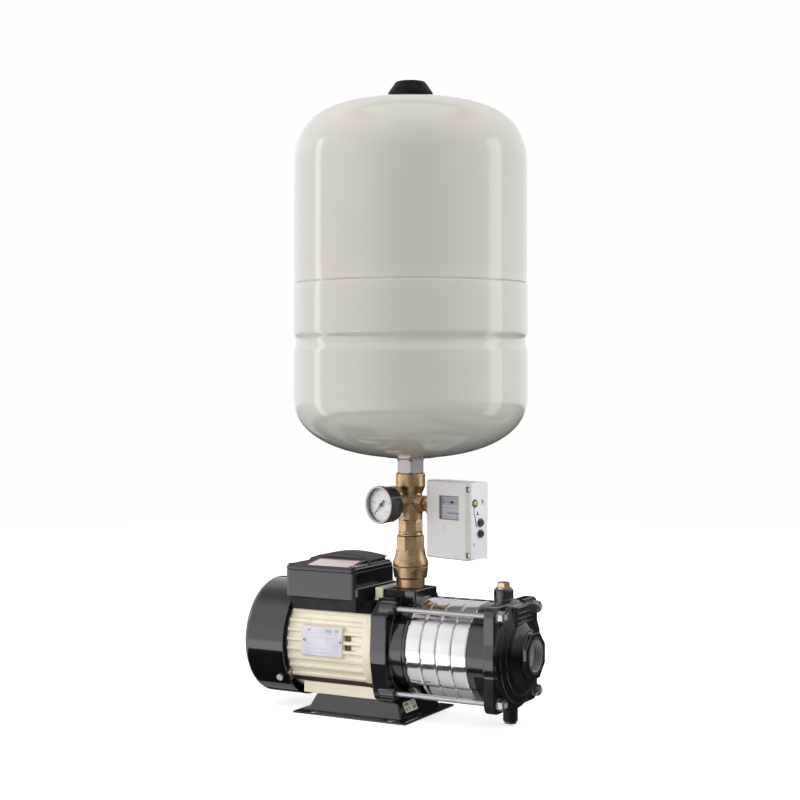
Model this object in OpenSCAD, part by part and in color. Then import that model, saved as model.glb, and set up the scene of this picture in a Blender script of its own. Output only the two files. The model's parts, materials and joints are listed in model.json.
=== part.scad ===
// Booster pump set: horizontal multistage pump on a base plate, with a
// check valve, a five-way brass fitting, a pressure gauge, a pressure switch
// and a vertical diaphragm tank standing on the discharge.
// Frame: origin on the floor at the centre of the base bolt slots,
// +X along the shaft towards the suction port, +Z up. Millimetres.

/* [Base] */
// Length of the base plate along the shaft
base_l = 160; // [150:1:180]
// Width of the base plate
base_w = 132.6; // [126:0.2:150]
// Height of the raised middle of the base
base_h = 22; // [22:1:22]

/* [Pump] */
// Height of the shaft above the floor
shaft_z = 86; // [86:1:90]
// Number of pump stages
n_stages = 4; // [2:1:6]
// Length of one stage
stage_pitch = 20.575; // [20.5:0.025:24]
// Outer radius of a stage shell
stage_r = 62; // [61.5:0.5:63]
// Half the distance between neighbouring tie rods
rod_half = 51.5; // [51:0.5:53]
// Radius of a tie rod
rod_r = 3.5; // [3.5:0.5:4]

/* [Motor] */
// Radius over the cooling fins
fin_r = 65.5; // [64:0.5:66]
// Outer radius of the fan cover
cowl_r = 74; // [70:1:76]

/* [Tank] */
// Largest radius of the tank
tank_r = 146.2; // [140:0.2:150]
// Height of the dome's top above the floor
tank_top = 772; // [760:1:790]
// Wall thickness of the tank
tank_t = 1.2; // [1:0.1:2]

/* [Fittings] */
// Distance of the discharge axis from the origin along the shaft
port_x = 52; // [52:1:52]
// Height of the gauge and switch ports
port_z = 263.6; // [262:0.2:264]
// How far the gauge stands out from its port
gz = 2.2; // [1.6:0.2:4]
// Radius of the gauge case
gauge_r = 22.4; // [22:0.1:23]
// Opening lift of the check valve
lift = 6; // [3:0.5:6]

/* [Hidden] */
$fn = 72;

stage_x0 = 77.1;
sx = stage_x0 + n_stages * stage_pitch;   // start of the suction casing
flange_x0 = sx + 23.6;
flange_x1 = sx + 37.6;
port_face_x = sx + 63.6;
motor_x0 = -90;
motor_x1 = 31;
core_x0 = -63;
core_x1 = 3;
side_a = -17;                             // direction of the switch port
seam_z = 536;

// ---------- helpers ----------
// child axis z becomes +X on the shaft line
module on_shaft(x = 0) { translate([x, 0, shaft_z]) rotate([0, 90, 0]) children(); }
module xtube(ro, ri, x0, x1) {
  on_shaft(x0) difference() {
    cylinder(r = ro, h = x1 - x0);
    translate([0, 0, -1]) cylinder(r = ri, h = x1 - x0 + 2);
  }
}
module xrod(r, x0, x1) { on_shaft(x0) cylinder(r = r, h = x1 - x0); }
// profile points are [x, radius]
module xlathe(pts) { on_shaft() rotate_extrude() polygon([for (p = pts) [p[1], p[0]]]); }
// profile points are [radius, z], turned about the discharge axis
module zlathe(pts) { translate([port_x, 0, 0]) rotate_extrude() polygon(pts); }
module port_rod(r, z0, z1) { translate([port_x, 0, z0]) cylinder(r = r, h = z1 - z0); }
// frame of the gauge and the switch: x to the right, y up, z to the front
module front() { translate([port_x, 0, 0]) rotate([90, 0, side_a]) children(); }
// outline in y and z, extruded along x from x0 to x1
module yz(x0, x1) { translate([x0, 0, 0]) rotate([90, 0, 90]) linear_extrude(x1 - x0) children(); }
module xbox(x0, x1, y0, y1, z0, z1) { translate([x0, y0, z0]) cube([x1 - x0, y1 - y0, z1 - z0]); }
module rods_at(x) {
  for (sy = [-1, 1], sz = [-1, 1])
    translate([x, sy * rod_half, shaft_z + sz * rod_half]) rotate([0, 90, 0]) children();
}

// ---------- base ----------
module pan(l, w, t, lip, run, h) {
  intersection() {
    translate([0, w / 2, 0]) rotate([90, 0, 0]) linear_extrude(w) polygon([
      [-l / 2, 0], [l / 2, 0], [l / 2, t], [l / 2 - lip, t], [l / 2 - lip - run, h],
      [-l / 2 + lip + run, h], [-l / 2 + lip, t], [-l / 2, t]]);
    translate([-l / 2, 0, 0]) rotate([90, 0, 90]) linear_extrude(l) polygon([
      [-w / 2, 0], [w / 2, 0], [w / 2, t], [w / 2 - lip, t], [w / 2 - lip - run, h],
      [-w / 2 + lip + run, h], [-w / 2 + lip, t], [-w / 2, t]]);
  }
}
module base_plate() {
  color("#1b1b20") difference() {
    pan(base_l, base_w, 2.5, 13.5, 8.5, base_h);
    intersection() {
      translate([0, 100, 0]) rotate([90, 0, 0]) linear_extrude(200) polygon([
        [-base_l / 2 + 15, -1], [base_l / 2 - 15, -1],
        [base_l / 2 - 23.5, base_h - 2.5], [-base_l / 2 + 23.5, base_h - 2.5]]);
      translate([-100, 0, 0]) rotate([90, 0, 90]) linear_extrude(200) polygon([
        [-base_w / 2 + 15, -1], [base_w / 2 - 15, -1],
        [base_w / 2 - 23.5, base_h - 2.5], [-base_w / 2 + 23.5, base_h - 2.5]]);
    }
    // bolt slots in the long lips
    for (x = [-55, 55], y = [-59, 59]) translate([x, y, -1]) {
      for (e = [-3.5, 3.5]) translate([e, 0, 0]) cylinder(r = 4.5, h = 6);
      translate([-3.5, -4.5, 0]) cube([7, 9, 6]);
    }
    // holes for the foot bolts
    for (p = [[-42, -32], [-42, 32], [14, -32], [14, 32]])
      translate([p[0], p[1], base_h - 6]) cylinder(r = 3.3, h = 8);
  }
}
// screws that hold the motor feet, driven from below
module foot_bolts() {
  color("silver") for (p = [[-42, -32], [-42, 32], [14, -32], [14, 32]]) translate([p[0], p[1], 0]) {
    translate([0, 0, base_h - 3]) cylinder(r = 3, h = 13);
    translate([0, 0, base_h - 6.5]) cylinder(r = 5.77, h = 4, $fn = 6);
  }
}

// ---------- motor ----------
fin_zs = [for (i = [-4:1:3]) i * 11.5 + 6.2];
module stator_housing() {
  color("#dad1b4") difference() {
    union() {
      xrod(fin_r - 2.7, motor_x0, motor_x1);
      // ring at the pump end of the housing
      xrod(fin_r, motor_x1 - 13, motor_x1);
      // horizontal fins, trimmed to the round envelope
      intersection() {
        xrod(fin_r, motor_x0, motor_x1);
        for (z = fin_zs) xbox(motor_x0, motor_x1, -80, 80, shaft_z + z - 2.2, shaft_z + z + 2.2);
      }
      // upright fins on top, under the terminal box
      intersection() {
        xrod(fin_r, motor_x0, motor_x1);
        for (y = [-34:8.5:34]) xbox(motor_x0, motor_x1, y - 1.3, y + 1.3, shaft_z, shaft_z + 70);
      }
      // pad for the nameplate
      xbox(-68.2, -7.6, -65.8, -50, 73.7, 111.1);
      // seat of the terminal box
      xbox(-84, -6, -34, 34, shaft_z + 50, 152);
      // square top of the front end
      xbox(18, 28.8, -30, 30, 128, 159);
      // feet
      for (s = [-1, 1]) {
        intersection() {
          xbox(motor_x0 + 12, motor_x1, s > 0 ? 20 : -43, s > 0 ? 43 : -20, base_h, 60);
          translate([0, 0, 0]) yz(motor_x0 + 12, motor_x1) polygon([
            [-43, 22], [43, 22], [43, 36.4], [30, 37.4], [30, 41], [48, 60], [-48, 60], [-30, 41], [-30, 37.4], [-43, 36.4]]);
        }
      }
    }
    // flat underside, over the base
    xbox(motor_x0 - 1, motor_x1 + 1, -80, 80, 10, base_h);
    // room for the discharge flange
    xbox(28.9, 32, -29.4, 29.4, 140.7, 170);
    // two deeper pockets beside the nameplate
    for (z = [[-3.1, 3.9], [8.5, 15.4]]) {
      xbox(-7, 1.5, -66, -57.6, shaft_z + z[0], shaft_z + z[1]);
      xbox(1, 9.5, -66, -60.4, shaft_z + z[0], shaft_z + z[1]);
    }
    xrod(56.05, motor_x0 - 1, motor_x1 + 1);
    // wire passage up to the terminal box
    translate([-45, 0, shaft_z + 40]) cylinder(r = 12, h = 40);
    // threaded holes in the feet
    for (p = [[-42, -32], [-42, 32], [14, -32], [14, 32]])
      translate([p[0], p[1], base_h - 1]) cylinder(r = 3.05, h = 12);
  }
}
module stator_core() {
  color("#8b8d90") difference() {
    xtube(56, 30.3, core_x0, core_x1);
    for (i = [0:23]) on_shaft(core_x0 - 1) rotate([0, 0, i * 15 + 7.5]) {
      translate([32, -1.8, 0]) cube([14, 3.6, core_x1 - core_x0 + 2]);
      translate([29, -1, 0]) cube([4, 2, core_x1 - core_x0 + 2]);
    }
  }
}
module stator_windings() {
  color("#b4622d") {
    xlathe([[core_x0 - 19, 33], [core_x0 - 16, 31.5], [core_x0 - 2, 31.5], [core_x0 - 2, 47.5], [core_x0 - 16, 49], [core_x0 - 19, 46]]);
    xlathe([[core_x1 + 2, 31.5], [core_x1 + 12, 31.5], [core_x1 + 15, 33], [core_x1 + 15, 46], [core_x1 + 12, 49], [core_x1 + 2, 47.5]]);
    for (i = [0:23]) on_shaft(core_x0 - 3) rotate([0, 0, i * 15 + 7.5])
      translate([32.4, -1.5, 0]) cube([13.6, 3, core_x1 - core_x0 + 6]);
  }
}
module nameplate() {
  color("#d9dade") {
    difference() {
      xbox(-67.6, -8.2, -66.6, -65.8, 74.3, 110.5);
      for (x = [-62.6, -10.4]) translate([x, -60, 93]) rotate([90, 0, 0]) cylinder(r = 1.6, h = 10);
    }
    for (x = [-62.6, -10.4]) translate([x, -65.8, 93]) rotate([90, 0, 0]) {
      cylinder(r = 1.55, h = 0.9);
      translate([0, 0, 0.8]) cylinder(r = 2.6, h = 0.7);
    }
  }
}
module rear_end_shield() {
  color("#a9abae") difference() {
    union() {
      xrod(64, motor_x0 - 5, motor_x0);
      xrod(55.9, motor_x0, motor_x0 + 4);
      xrod(25, motor_x0 - 6, motor_x0 + 19);
      // bosses that take the fan cover screws
      for (a = [90, 217, 323]) translate([0, 0, shaft_z]) rotate([a, 0, 0])
        xbox(-112, motor_x0, 56, 71.5, -7, 7);
    }
    xrod(50, motor_x0 - 0, motor_x0 + 5);
    xrod(10, motor_x0 - 10, motor_x0 + 20);
    xrod(20.05, motor_x0 + 6, motor_x0 + 20);
    for (a = [90, 217, 323]) translate([-103, 0, shaft_z]) rotate([a, 0, 0])
      rotate([-90, 0, 0]) translate([0, 0, 60]) cylinder(r = 2.1, h = 14);
  }
  color("#a9abae") difference() {
    xrod(25, motor_x0 - 1, motor_x0 + 19);
    xrod(20.05, motor_x0 + 6, motor_x0 + 20);
    xrod(10, motor_x0 - 10, motor_x0 + 20);
  }
}
module fan_cover() {
  r = cowl_r; x1 = -90.5; x0 = -150.5; f = 10;
  outer = concat([[x0, 0]], [for (i = [0:10]) [x0 + f - f * cos(9 * i), r - f + f * sin(9 * i)]], [[x1, r]]);
  inner = concat([[x1, r - 1.6]], [for (i = [10:-1:0]) [x0 + f - (f - 1.6) * cos(9 * i), r - f + (f - 1.6) * sin(9 * i)]], [[x0 + 1.6, 0]]);
  color("#17171c") difference() {
    xlathe(concat(outer, inner));
    // air slots in the rear face
    for (i = [0:23]) translate([x0 - 1, 0, shaft_z]) rotate([i * 15, 0, 0]) {
      translate([0, 16, -1.6]) cube([4, 13, 3.2]);
      translate([0, 34, -2.2]) cube([4, 14, 4.4]);
    }
    for (a = [90, 217, 323]) translate([-103, 0, shaft_z]) rotate([a, 0, 0])
      rotate([-90, 0, 0]) translate([0, 0, 60]) cylinder(r = 2.6, h = 20);
  }
}
module pan_screw(l) {
  translate([0, 0, -l]) cylinder(r = 2, h = l + 0.1);
  difference() {
    cylinder(r = 4.2, h = 2.4);
    translate([-2.8, -0.5, 1.2]) cube([5.6, 1, 2]);
    translate([-0.5, -2.8, 1.2]) cube([1, 5.6, 2]);
  }
}
lid_pts = [[-92, -50], [-4, -50], [-92, 40], [-4, 40]];
module cover_screws() {
  color("silver") {
    for (a = [90, 217, 323]) translate([-103, 0, shaft_z]) rotate([a, 0, 0])
      rotate([-90, 0, 0]) translate([0, 0, cowl_r + 0.05]) pan_screw(10);
    for (p = lid_pts) translate([p[0], p[1], 182.4]) pan_screw(14);
  }
}

// ---------- terminal box ----------
module round_box(x0, x1, y0, y1, z0, z1, r) {
  translate([0, 0, z0]) linear_extrude(z1 - z0) {
    translate([x0 + r, y0]) square([x1 - x0 - 2 * r, y1 - y0]);
    translate([x0, y0 + r]) square([x1 - x0, y1 - y0 - 2 * r]);
    for (x = [x0 + r, x1 - r], y = [y0 + r, y1 - r]) translate([x, y]) circle(r = r);
  }
}
module terminal_box_base() {
  color("#1a1a1f") difference() {
    union() {
      intersection() {
        round_box(-98.4, 4.8, -56, 46, 144, 178, 7);
        translate([0, 47, 0]) rotate([90, 0, 0]) linear_extrude(104) polygon([[-98.4, 178], [2.8, 178], [4.8, 144], [-96.4, 144]]);
      }
      // skirt that follows the motor, as far as the pump
      round_box(-95.5, 28.4, -53.5, 43.5, 129, 144, 5);
      // step between the box and the pump
      round_box(-12, 16.6, -53.5, 43.5, 140, 158, 5);
    }
    xrod(fin_r + 0.5, -120, 40);
    // clear of the fan cover's edge
    xrod(cowl_r + 0.6, -130, motor_x0 + 0.3);
    round_box(-95, -1, -53, 43, 163.5, 190, 4);
    xbox(-86, -1.2, -50, 40, 154.5, 170);
    // hollow of the step
    xbox(0.4, 14.2, -51, 41, 110, 155.6);
    // hollow of the skirt, over the seat of the housing
    xbox(-86.5, -4, -50, 40, 110, 152);
    // around the square top of the housing
    xbox(17.4, 30, -30.6, 30.6, 120, 150);
    translate([-45, 0, 130]) cylinder(r = 11, h = 40);
    // cable entry, with room for its nut
    xbox(-35, -9, 39, 43.2, 154, 170);
    translate([-22, 40, 166]) rotate([-90, 0, 0]) cylinder(r = 8.1, h = 20);
  }
  // screw pillars
  color("#1a1a1f") for (p = lid_pts) difference() {
    translate([p[0], p[1], 163.4]) cylinder(r = 4.5, h = 14.6);
    translate([p[0], p[1], 166]) cylinder(r = 2.1, h = 30);
  }
}
module terminal_box_lid() {
  color("#1a1a1f") difference() {
    union() {
      round_box(-98.4, 2.8, -56, 46, 178, 182, 5.8);
      round_box(-96.9, 1.3, -54.5, 44.5, 182, 184, 5);
      // front half that rises to the hump
      yz(-79, -5) polygon([[-52, 183], [-9, 189.5], [20, 189.5], [20, 183]]);
      // crowned rear hump over the capacitor
      intersection() {
        translate([0, 43, 0]) rotate([90, 0, 0]) linear_extrude(50) polygon([
          [-94, 183], [-92, 187.6], [-80, 191.4], [-66, 194], [-47, 195.4], [-28, 194], [-12, 191.4], [-4, 189.4], [-2, 183]]);
        yz(-100, 10) polygon([[-7, 183], [-1, 196], [39, 196], [43, 190], [43, 183]]);
      }
    }
    // hollow inside the hump
    translate([-76, 0, 0]) yz(0, 58) polygon([[2, 176], [2, 183], [6.5, 188], [31.5, 188], [37, 183], [37, 176]]);
    // recess of the label
    yz(-74, -10) polygon([[-48, 182.8], [-48, 192], [-11, 197], [-11, 188.4]]);
    for (p = lid_pts) {
      translate([p[0], p[1], 170]) cylinder(r = 2.3, h = 20);
      translate([p[0], p[1], 182.4]) cylinder(r = 4.6, h = 6);
    }
  }
}
module terminal_block() {
  color("#5b3a26") difference() {
    xbox(-84, -16, -42, -24, 154.5, 162);
    for (x = [-81, -19]) translate([x, -27, 150]) cylinder(r = 1.6, h = 20);
  }
  color("#b89a5a") for (i = [0:5]) translate([-78 + i * 11.2, -33, 160]) {
    cylinder(r = 2, h = 13);
    translate([0, 0, 1.9]) cylinder(r = 4.04, h = 3.2, $fn = 6);
  }
}
module capacitor() {
  color("#d8d8d4") {
    translate([-74, 19, 170.5]) rotate([0, 90, 0]) cylinder(r = 15.8, h = 55);
    for (y = [14, 24]) xbox(-19.5, -11, y - 0.4, y + 0.4, 165, 171);
  }
}
module cable_gland() {
  color("#8e8f94") difference() {
    translate([-22, 46, 166]) rotate([-90, 0, 0]) union() {
      translate([0, 0, -9]) cylinder(r = 8, h = 16);
      translate([0, 0, -6.9]) cylinder(r = 10.9, h = 3.9, $fn = 6);
      translate([0, 0, 0.05]) cylinder(r = 11.5, h = 5, $fn = 6);
      translate([0, 0, 5]) cylinder(r = 9.6, h = 3);
      translate([0, 0, 8]) cylinder(r = 11.5, h = 7, $fn = 6);
      translate([0, 0, 15]) cylinder(r1 = 9, r2 = 6.5, h = 4);
    }
    translate([-22, 30, 166]) rotate([-90, 0, 0]) cylinder(r = 4, h = 50);
  }
}

// ---------- bearings and rotor ----------
bearing_xs = [-84, 20];
module bearing_outer_races() {
  color("#b9bcc0") for (x = bearing_xs) on_shaft(x) difference() {
    cylinder(r = 20, h = 12);
    translate([0, 0, -1]) cylinder(r = 16.6, h = 14);
    translate([0, 0, 6]) rotate_extrude() translate([14.25, 0]) circle(r = 3.55, $fn = 40);
  }
}
module bearing_inner_races() {
  color("#b9bcc0") for (x = bearing_xs) on_shaft(x) difference() {
    cylinder(r = 11.9, h = 12);
    translate([0, 0, -1]) cylinder(r = 8.5, h = 14);
    translate([0, 0, 6]) rotate_extrude() translate([14.25, 0]) circle(r = 3.55, $fn = 40);
  }
}
module bearing_balls() {
  color("#d0d2d6") for (x = bearing_xs) on_shaft(x + 6) {
    for (i = [0:7]) rotate([0, 0, i * 45]) translate([14.25, 0, 0]) sphere(r = 3.38, $fn = 32);
    // cage that keeps the balls apart
    difference() {
      translate([0, 0, -1.6]) cylinder(r = 15.4, h = 3.2);
      translate([0, 0, -2]) cylinder(r = 13.1, h = 4);
    }
  }
}
module shaft() {
  color("#c4c6c9") xlathe([
    [-127, 0], [-127, 6.95], [-100, 6.95], [-100, 8.45], [-72, 8.45], [-72, 10], [20, 10], [20, 8.45],
    [34, 8.45], [34, 6.95], [sx + 4, 6.95], [sx + 4, 4.95], [sx + 15, 4.95], [sx + 15, 0]]);
}
module rotor_core() {
  color("#9a9c9f") union() {
    xtube(29.7, 10.05, core_x0, core_x1);
    xtube(28, 15, core_x0 - 7, core_x0 + 1);
    xtube(28, 15, core_x1 - 1, core_x1 + 8);
    for (i = [0:7]) on_shaft(core_x1 + 7.5) rotate([0, 0, i * 45])
      translate([19, -1, 0]) cube([7, 2, 6]);
  }
}
module cooling_fan() {
  color("#2b2b30") difference() {
    union() {
      xrod(13, -125, -104);
      xrod(40, -106, -104);
      for (i = [0:7]) on_shaft(-125) rotate([0, 0, i * 45]) translate([12, -1, 0]) cube([40, 2, 20.5]);
      xtube(41, 37, -112, -104);
    }
    xrod(7, -130, -100);
  }
}
module impeller() {
  difference() {
    union() {
      xrod(10.5, 0.6, 20.4);
      xrod(46, 9, 10.2);
      on_shaft(15) cylinder(r = 46, h = 1.2);
      xtube(18.4, 16.6, 16.2, 18.8);
      for (i = [0:5]) on_shaft(9.6) rotate([0, 0, i * 60]) for (k = [0:3])
        rotate([0, 0, k * 17]) translate([10 + 9 * k, -1, 0]) rotate([0, 0, 38]) cube([14, 1.6, 6]);
    }
    xrod(7, -1, 22);
    // open eye
    xtube(16.6, 10.5, 14, 20);
    xtube(80, 46, 5, 20);
  }
}
module impellers() {
  color("#c9cbce") for (i = [0:n_stages - 1]) translate([stage_x0 + i * stage_pitch, 0, 0]) impeller();
}
module impeller_nut() {
  color("silver") on_shaft(sx + 4.6) difference() {
    union() {
      cylinder(r = 10, h = 1.5);
      translate([0, 0, 1.5]) cylinder(r = 9.8, h = 6, $fn = 6);
    }
    translate([0, 0, -1]) cylinder(r = 5, h = 20);
  }
}
module shaft_seal_ring() {
  color("#37383c") {
    xtube(12, 7.05, 42.8, 46);
    xtube(10, 7.05, 46, 56);
    xtube(12, 7.05, 56, 58);
  }
  color("silver") for (x = [47.2, 49.9, 52.6]) on_shaft(x) rotate_extrude() translate([10.8, 0]) square([1.2, 1.2]);
  color("silver") for (x = [47.2, 49.9, 52.6]) on_shaft(x) rotate_extrude() translate([9.5, 0]) square([1.6, 1.2]);
}
module shaft_seal_seat() {
  color("#e9e6df") xtube(12.95, 8.2, 36, 42.7);
}

// ---------- pump ----------
module discharge_casing() {
  color("#1b1b20") difference() {
    union() {
      // bracket rim with its foot
      yz(31, 53.5) polygon([[-45, 22], [45, 22], [54, 26], [58.5, 34], [66.4, 72], [66.4, 84], [65, 129], [44, 149],
        [-44, 149], [-65, 129], [-66.4, 84], [-66.4, 72], [-58.5, 34], [-54, 26]]);
      // pump side
      xrod(60, 50, stage_x0);
      xrod(stage_r - 0.5, stage_x0 - 5, stage_x0);
      // spigot into the motor
      xrod(55.9, 27, 32);
      // seat of the front bearing
      xrod(25, 18, 34);
      // bosses of the tie rods
      rods_at(40) cylinder(r = 9, h = 20.6);
      // discharge flange and its neck
      round_box(port_x - 23, port_x + 23, -29, 29, 141, 157.6, 3);
      round_box(port_x - 19, port_x + 21, -24, 24, 120, 142, 4);
    }
    // room for the motor's front end
    difference() {
      xrod(50, 26, 34.5);
      xrod(25, 18, 34.5);
    }
    xrod(20.05, 17, 32);
    xrod(10.5, 30, 37);
    xrod(13, 36, 43);
    // water space
    xrod(53.5, 43, stage_x0 + 1);
    // discharge bore down to the water space
    port_rod(16.62, 143.5, 170);
    port_rod(14.5, 110, 150);
    // blind holes of the tie rods
    rods_at(42) cylinder(r = rod_r + 0.05, h = 30);
    // lightening pockets beside the bearing, on the motor side
    for (a = [0, 90, 180, 270]) translate([30, 0, shaft_z]) rotate([a + 45, 0, 0])
      translate([0, 34, -6]) cube([6, 14, 12]);
  }
}
module stage_shell() {
  on_shaft() rotate_extrude() polygon([
    [stage_r - 1.6, 0.05], [stage_r - 1.3, 0.05], [stage_r - 0.35, 0.8], [stage_r, 2.4], [stage_r, stage_pitch - 2.4],
    [stage_r - 0.35, stage_pitch - 0.8], [stage_r - 1.3, stage_pitch - 0.05], [stage_r - 1.6, stage_pitch - 0.05]]);
}
module stage_shells() {
  color("#e3e4e6") for (i = [0:n_stages - 1]) translate([stage_x0 + i * stage_pitch, 0, 0]) stage_shell();
}
module diffuser() {
  ri = stage_r - 1.7;
  difference() {
    union() {
      xtube(ri, ri - 1.6, 1.9, stage_pitch - 0.2);
      xtube(ri - 1, 12.2, 4.4, 6);
      xtube(ri - 1, 19.4, stage_pitch - 2.2, stage_pitch - 0.8);
      // return vanes and diffuser vanes
      for (i = [0:7]) on_shaft(0.9) rotate([0, 0, i * 45]) translate([22, -0.8, 0]) rotate([0, 0, 25]) cube([30, 1.6, 4]);
      for (i = [0:9]) on_shaft(5.5) rotate([0, 0, i * 36]) translate([48.4, -0.8, 0]) rotate([0, 0, 50]) cube([8, 1.6, stage_pitch - 7]);
    }
    difference() {
      xrod(80, 0, stage_pitch);
      xrod(ri, -1, stage_pitch + 1);
    }
  }
}
module diffusers() {
  color("#b7b9bd") for (i = [0:n_stages - 1]) translate([stage_x0 + i * stage_pitch, 0, 0]) diffuser();
}
module stage_o_rings() {
  color("#202022") for (i = [0:n_stages - 1]) on_shaft(stage_x0 + i * stage_pitch + 0.95)
    rotate_extrude() translate([stage_r - 2.55, 0]) circle(r = 0.85, $fn = 20);
}
module suction_casing() {
  c = shaft_z;
  color("#1b1b20") difference() {
    union() {
      xlathe([[sx, 0], [sx, stage_r - 0.5], [flange_x1 - 2, stage_r - 0.5], [flange_x1 - 2, 65.2], [flange_x1, 65.2],
        [flange_x1 + 3, 64], [flange_x1 + 6.5, 58], [flange_x1 + 9, 50], [flange_x1 + 10.5, 40], [flange_x1 + 14, 37], [flange_x1 + 19, 31.5], [port_face_x - 6, 28.5], [port_face_x - 6, 0]]);
      // eight-sided end of the suction port
      on_shaft(port_face_x - 12) rotate([0, 0, 22.5]) cylinder(r = 29.8, h = 12, $fn = 8);
      // square flange with round corners and slightly full sides
      yz(flange_x0, flange_x1) translate([0, c]) {
        square([2 * rod_half + 24, 2 * rod_half], center = true);
        square([2 * rod_half, 2 * rod_half + 24], center = true);
        for (y = [-rod_half, rod_half], z = [-rod_half, rod_half]) translate([y, z]) circle(r = 12);
        circle(r = 66);
      }
      // raised blank pad above the port
      xbox(flange_x1 - 2, flange_x1 + 10, -26, 26, c + 28, c + 61);
      // priming boss on top
      translate([sx + 20.6, 0, c + 50]) cylinder(r = 12, h = 28);
      // drain boss at the bottom
      translate([sx + 29.6, 0, 4.5]) cylinder(r = 9, h = 30);
    }
    // water space
    xlathe([[sx - 1, 0], [sx - 1, 53.5], [flange_x1 - 4, 53.5], [flange_x1 + 3, 46], [flange_x1 + 7, 30], [flange_x1 + 8, 20], [flange_x1 + 8, 0]]);
    // suction thread
    xrod(19.48, flange_x1 + 4, port_face_x + 1);
    rods_at(flange_x0 - 1) cylinder(r = rod_r + 0.5, h = 60);
    // seats of the nuts
    rods_at(flange_x1) cylinder(r = 8.7, h = 60);
    // plug threads
    translate([sx + 20.6, 0, c + 40]) cylinder(r = 5.6, h = 60);
    translate([sx + 29.6, 0, 0]) cylinder(r = 4.6, h = 60);
  }
}
module tie_rods() {
  color("#c9cbd0") rods_at(42.2) cylinder(r = rod_r, h = flange_x1 + 10.5 - 42.2);
}
module tie_rod_nuts() {
  color("#d3d4d8") rods_at(flange_x1) difference() {
    union() {
      cylinder(r = 8, h = 1.6);
      translate([0, 0, 1.6]) intersection() {
        cylinder(r = 7.5, h = 6.5, $fn = 6);
        translate([0, 0, -1.2]) cylinder(r1 = 9.7, r2 = 6.4, h = 8);

      }
    }
    translate([0, 0, -1]) cylinder(r = rod_r + 0.05, h = 20);
  }
}
module priming_plug() {
  color("#b0926a") translate([sx + 20.6, 0, shaft_z + 78]) difference() {
   union() {
    translate([0, 0, -14]) cylinder(r = 5.5, h = 14.1);
    translate([0, 0, 0.1]) cylinder(r = 9.6, h = 1.9);
    translate([0, 0, 2]) intersection() {
      cylinder(r = 8.3, h = 6.2, $fn = 6);
      cylinder(r1 = 11.5, r2 = 7.2, h = 6.2);
    }
   }
   // hexagon socket
   translate([0, 0, 3]) cylinder(r = 3.46, h = 6, $fn = 6);
  }
}
module drain_plug() {
  color("#1b1b20") translate([sx + 29.6, 0, 0]) difference() {
    union() {
      translate([0, 0, 4.4]) cylinder(r = 4.5, h = 12);
      translate([0, 0, 2.2]) cylinder(r = 7.4, h = 2.2);
    }
    translate([0, 0, 2]) cylinder(r = 3, h = 4, $fn = 6);
  }
}

// ---------- valve and fittings on the discharge ----------
module discharge_nipple() {
  color("#b0926a") difference() {
    union() {
      port_rod(16.5, 144, 180);
      zlathe([[0, 157.9], [17.3, 157.9], [17.9, 158.6], [17.9, 168.8], [17.3, 169.7], [0, 169.7]]);
    }
    port_rod(12.5, 140, 190);
  }
}
module check_valve_cap() {
  color("#b0926a") difference() {
    union() {
      translate([port_x, 0, 170]) intersection() {
        rotate([0, 0, 6]) cylinder(r = 23.6, h = 14.5, $fn = 8);
        rotate_extrude() polygon([[0, 0], [19.6, 0], [20.6, 1], [22.25, 12.5], [22.25, 13.7], [21.5, 14.5], [0, 14.5]]);
      }
      port_rod(19, 184.4, 190);
    }
    port_rod(16.6, 168, 181);
    port_rod(9, 160, 200);
    zlathe([[8, 184.4], [11, 190.1], [0, 190.1], [0, 184.4]]);
  }
}
module check_valve_body() {
  color("#b0926a") difference() {
    union() {
      translate([port_x, 0, 204.5]) rotate([0, 0, 22.5 + side_a]) cylinder(r = 18.83, h = 17.4, $fn = 8);
      zlathe([[0, 184.6], [21.6, 184.6], [22.25, 185.6], [22.25, 188], [21.7, 191], [20.2, 195], [18.9, 199], [18.2, 203], [18, 206], [0, 206]]);
    }
    port_rod(19.1, 184, 190.1);
    port_rod(16.5, 189, 201);
    port_rod(10, 200, 209);
    port_rod(13.3, 208, 223);
  }
  // guide of the poppet stem
  color("#b0926a") difference() {
    union() {
      port_rod(4.5, 203, 207);
      for (a = [0, 120, 240]) translate([port_x, 0, 204]) rotate([0, 0, a]) translate([3, -1, 0]) cube([8, 2, 3]);
    }
    port_rod(2.5, 200, 210);
  }
}
module check_poppet() {
  color("#8a5a3c") {
    port_rod(13, 190.1, 192.4);
    port_rod(2.45, 192, 212);
    difference() { port_rod(5.4, 192.3, 194); port_rod(4, 192.4, 196); }
  }
  color("#26262a") port_rod(7, 189.2, 190.3);
}
// helical spring as one swept tube
function helix_ring(t, n, r, w, h, turns, sides) =
  [for (k = [0:sides - 1]) let (a = 360 * turns * t / n, b = 360 * k / sides)
    [(r + w * cos(b)) * cos(a), (r + w * cos(b)) * sin(a), h * t / n + w * sin(b)]];
module coil(r, w, h, turns, n, sides) {
  pts = [for (t = [0:n]) each helix_ring(t, n, r, w, h, turns, sides)];
  faces = concat(
    [[for (k = [0:sides - 1]) k]],
    [for (t = [0:n - 1], k = [0:sides - 1]) [t * sides + k, (t + 1) * sides + k, (t + 1) * sides + (k + 1) % sides]],
    [for (t = [0:n - 1], k = [0:sides - 1]) [t * sides + k, (t + 1) * sides + (k + 1) % sides, t * sides + (k + 1) % sides]],
    [[for (k = [sides - 1:-1:0]) n * sides + k]]);
  polyhedron(points = pts, faces = faces, convexity = 10);
}
module poppet_spring() {
  color("silver") translate([port_x, 0, 193.2]) coil(6.8, 0.5, 9.1, 5, 60, 6);
}
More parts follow.
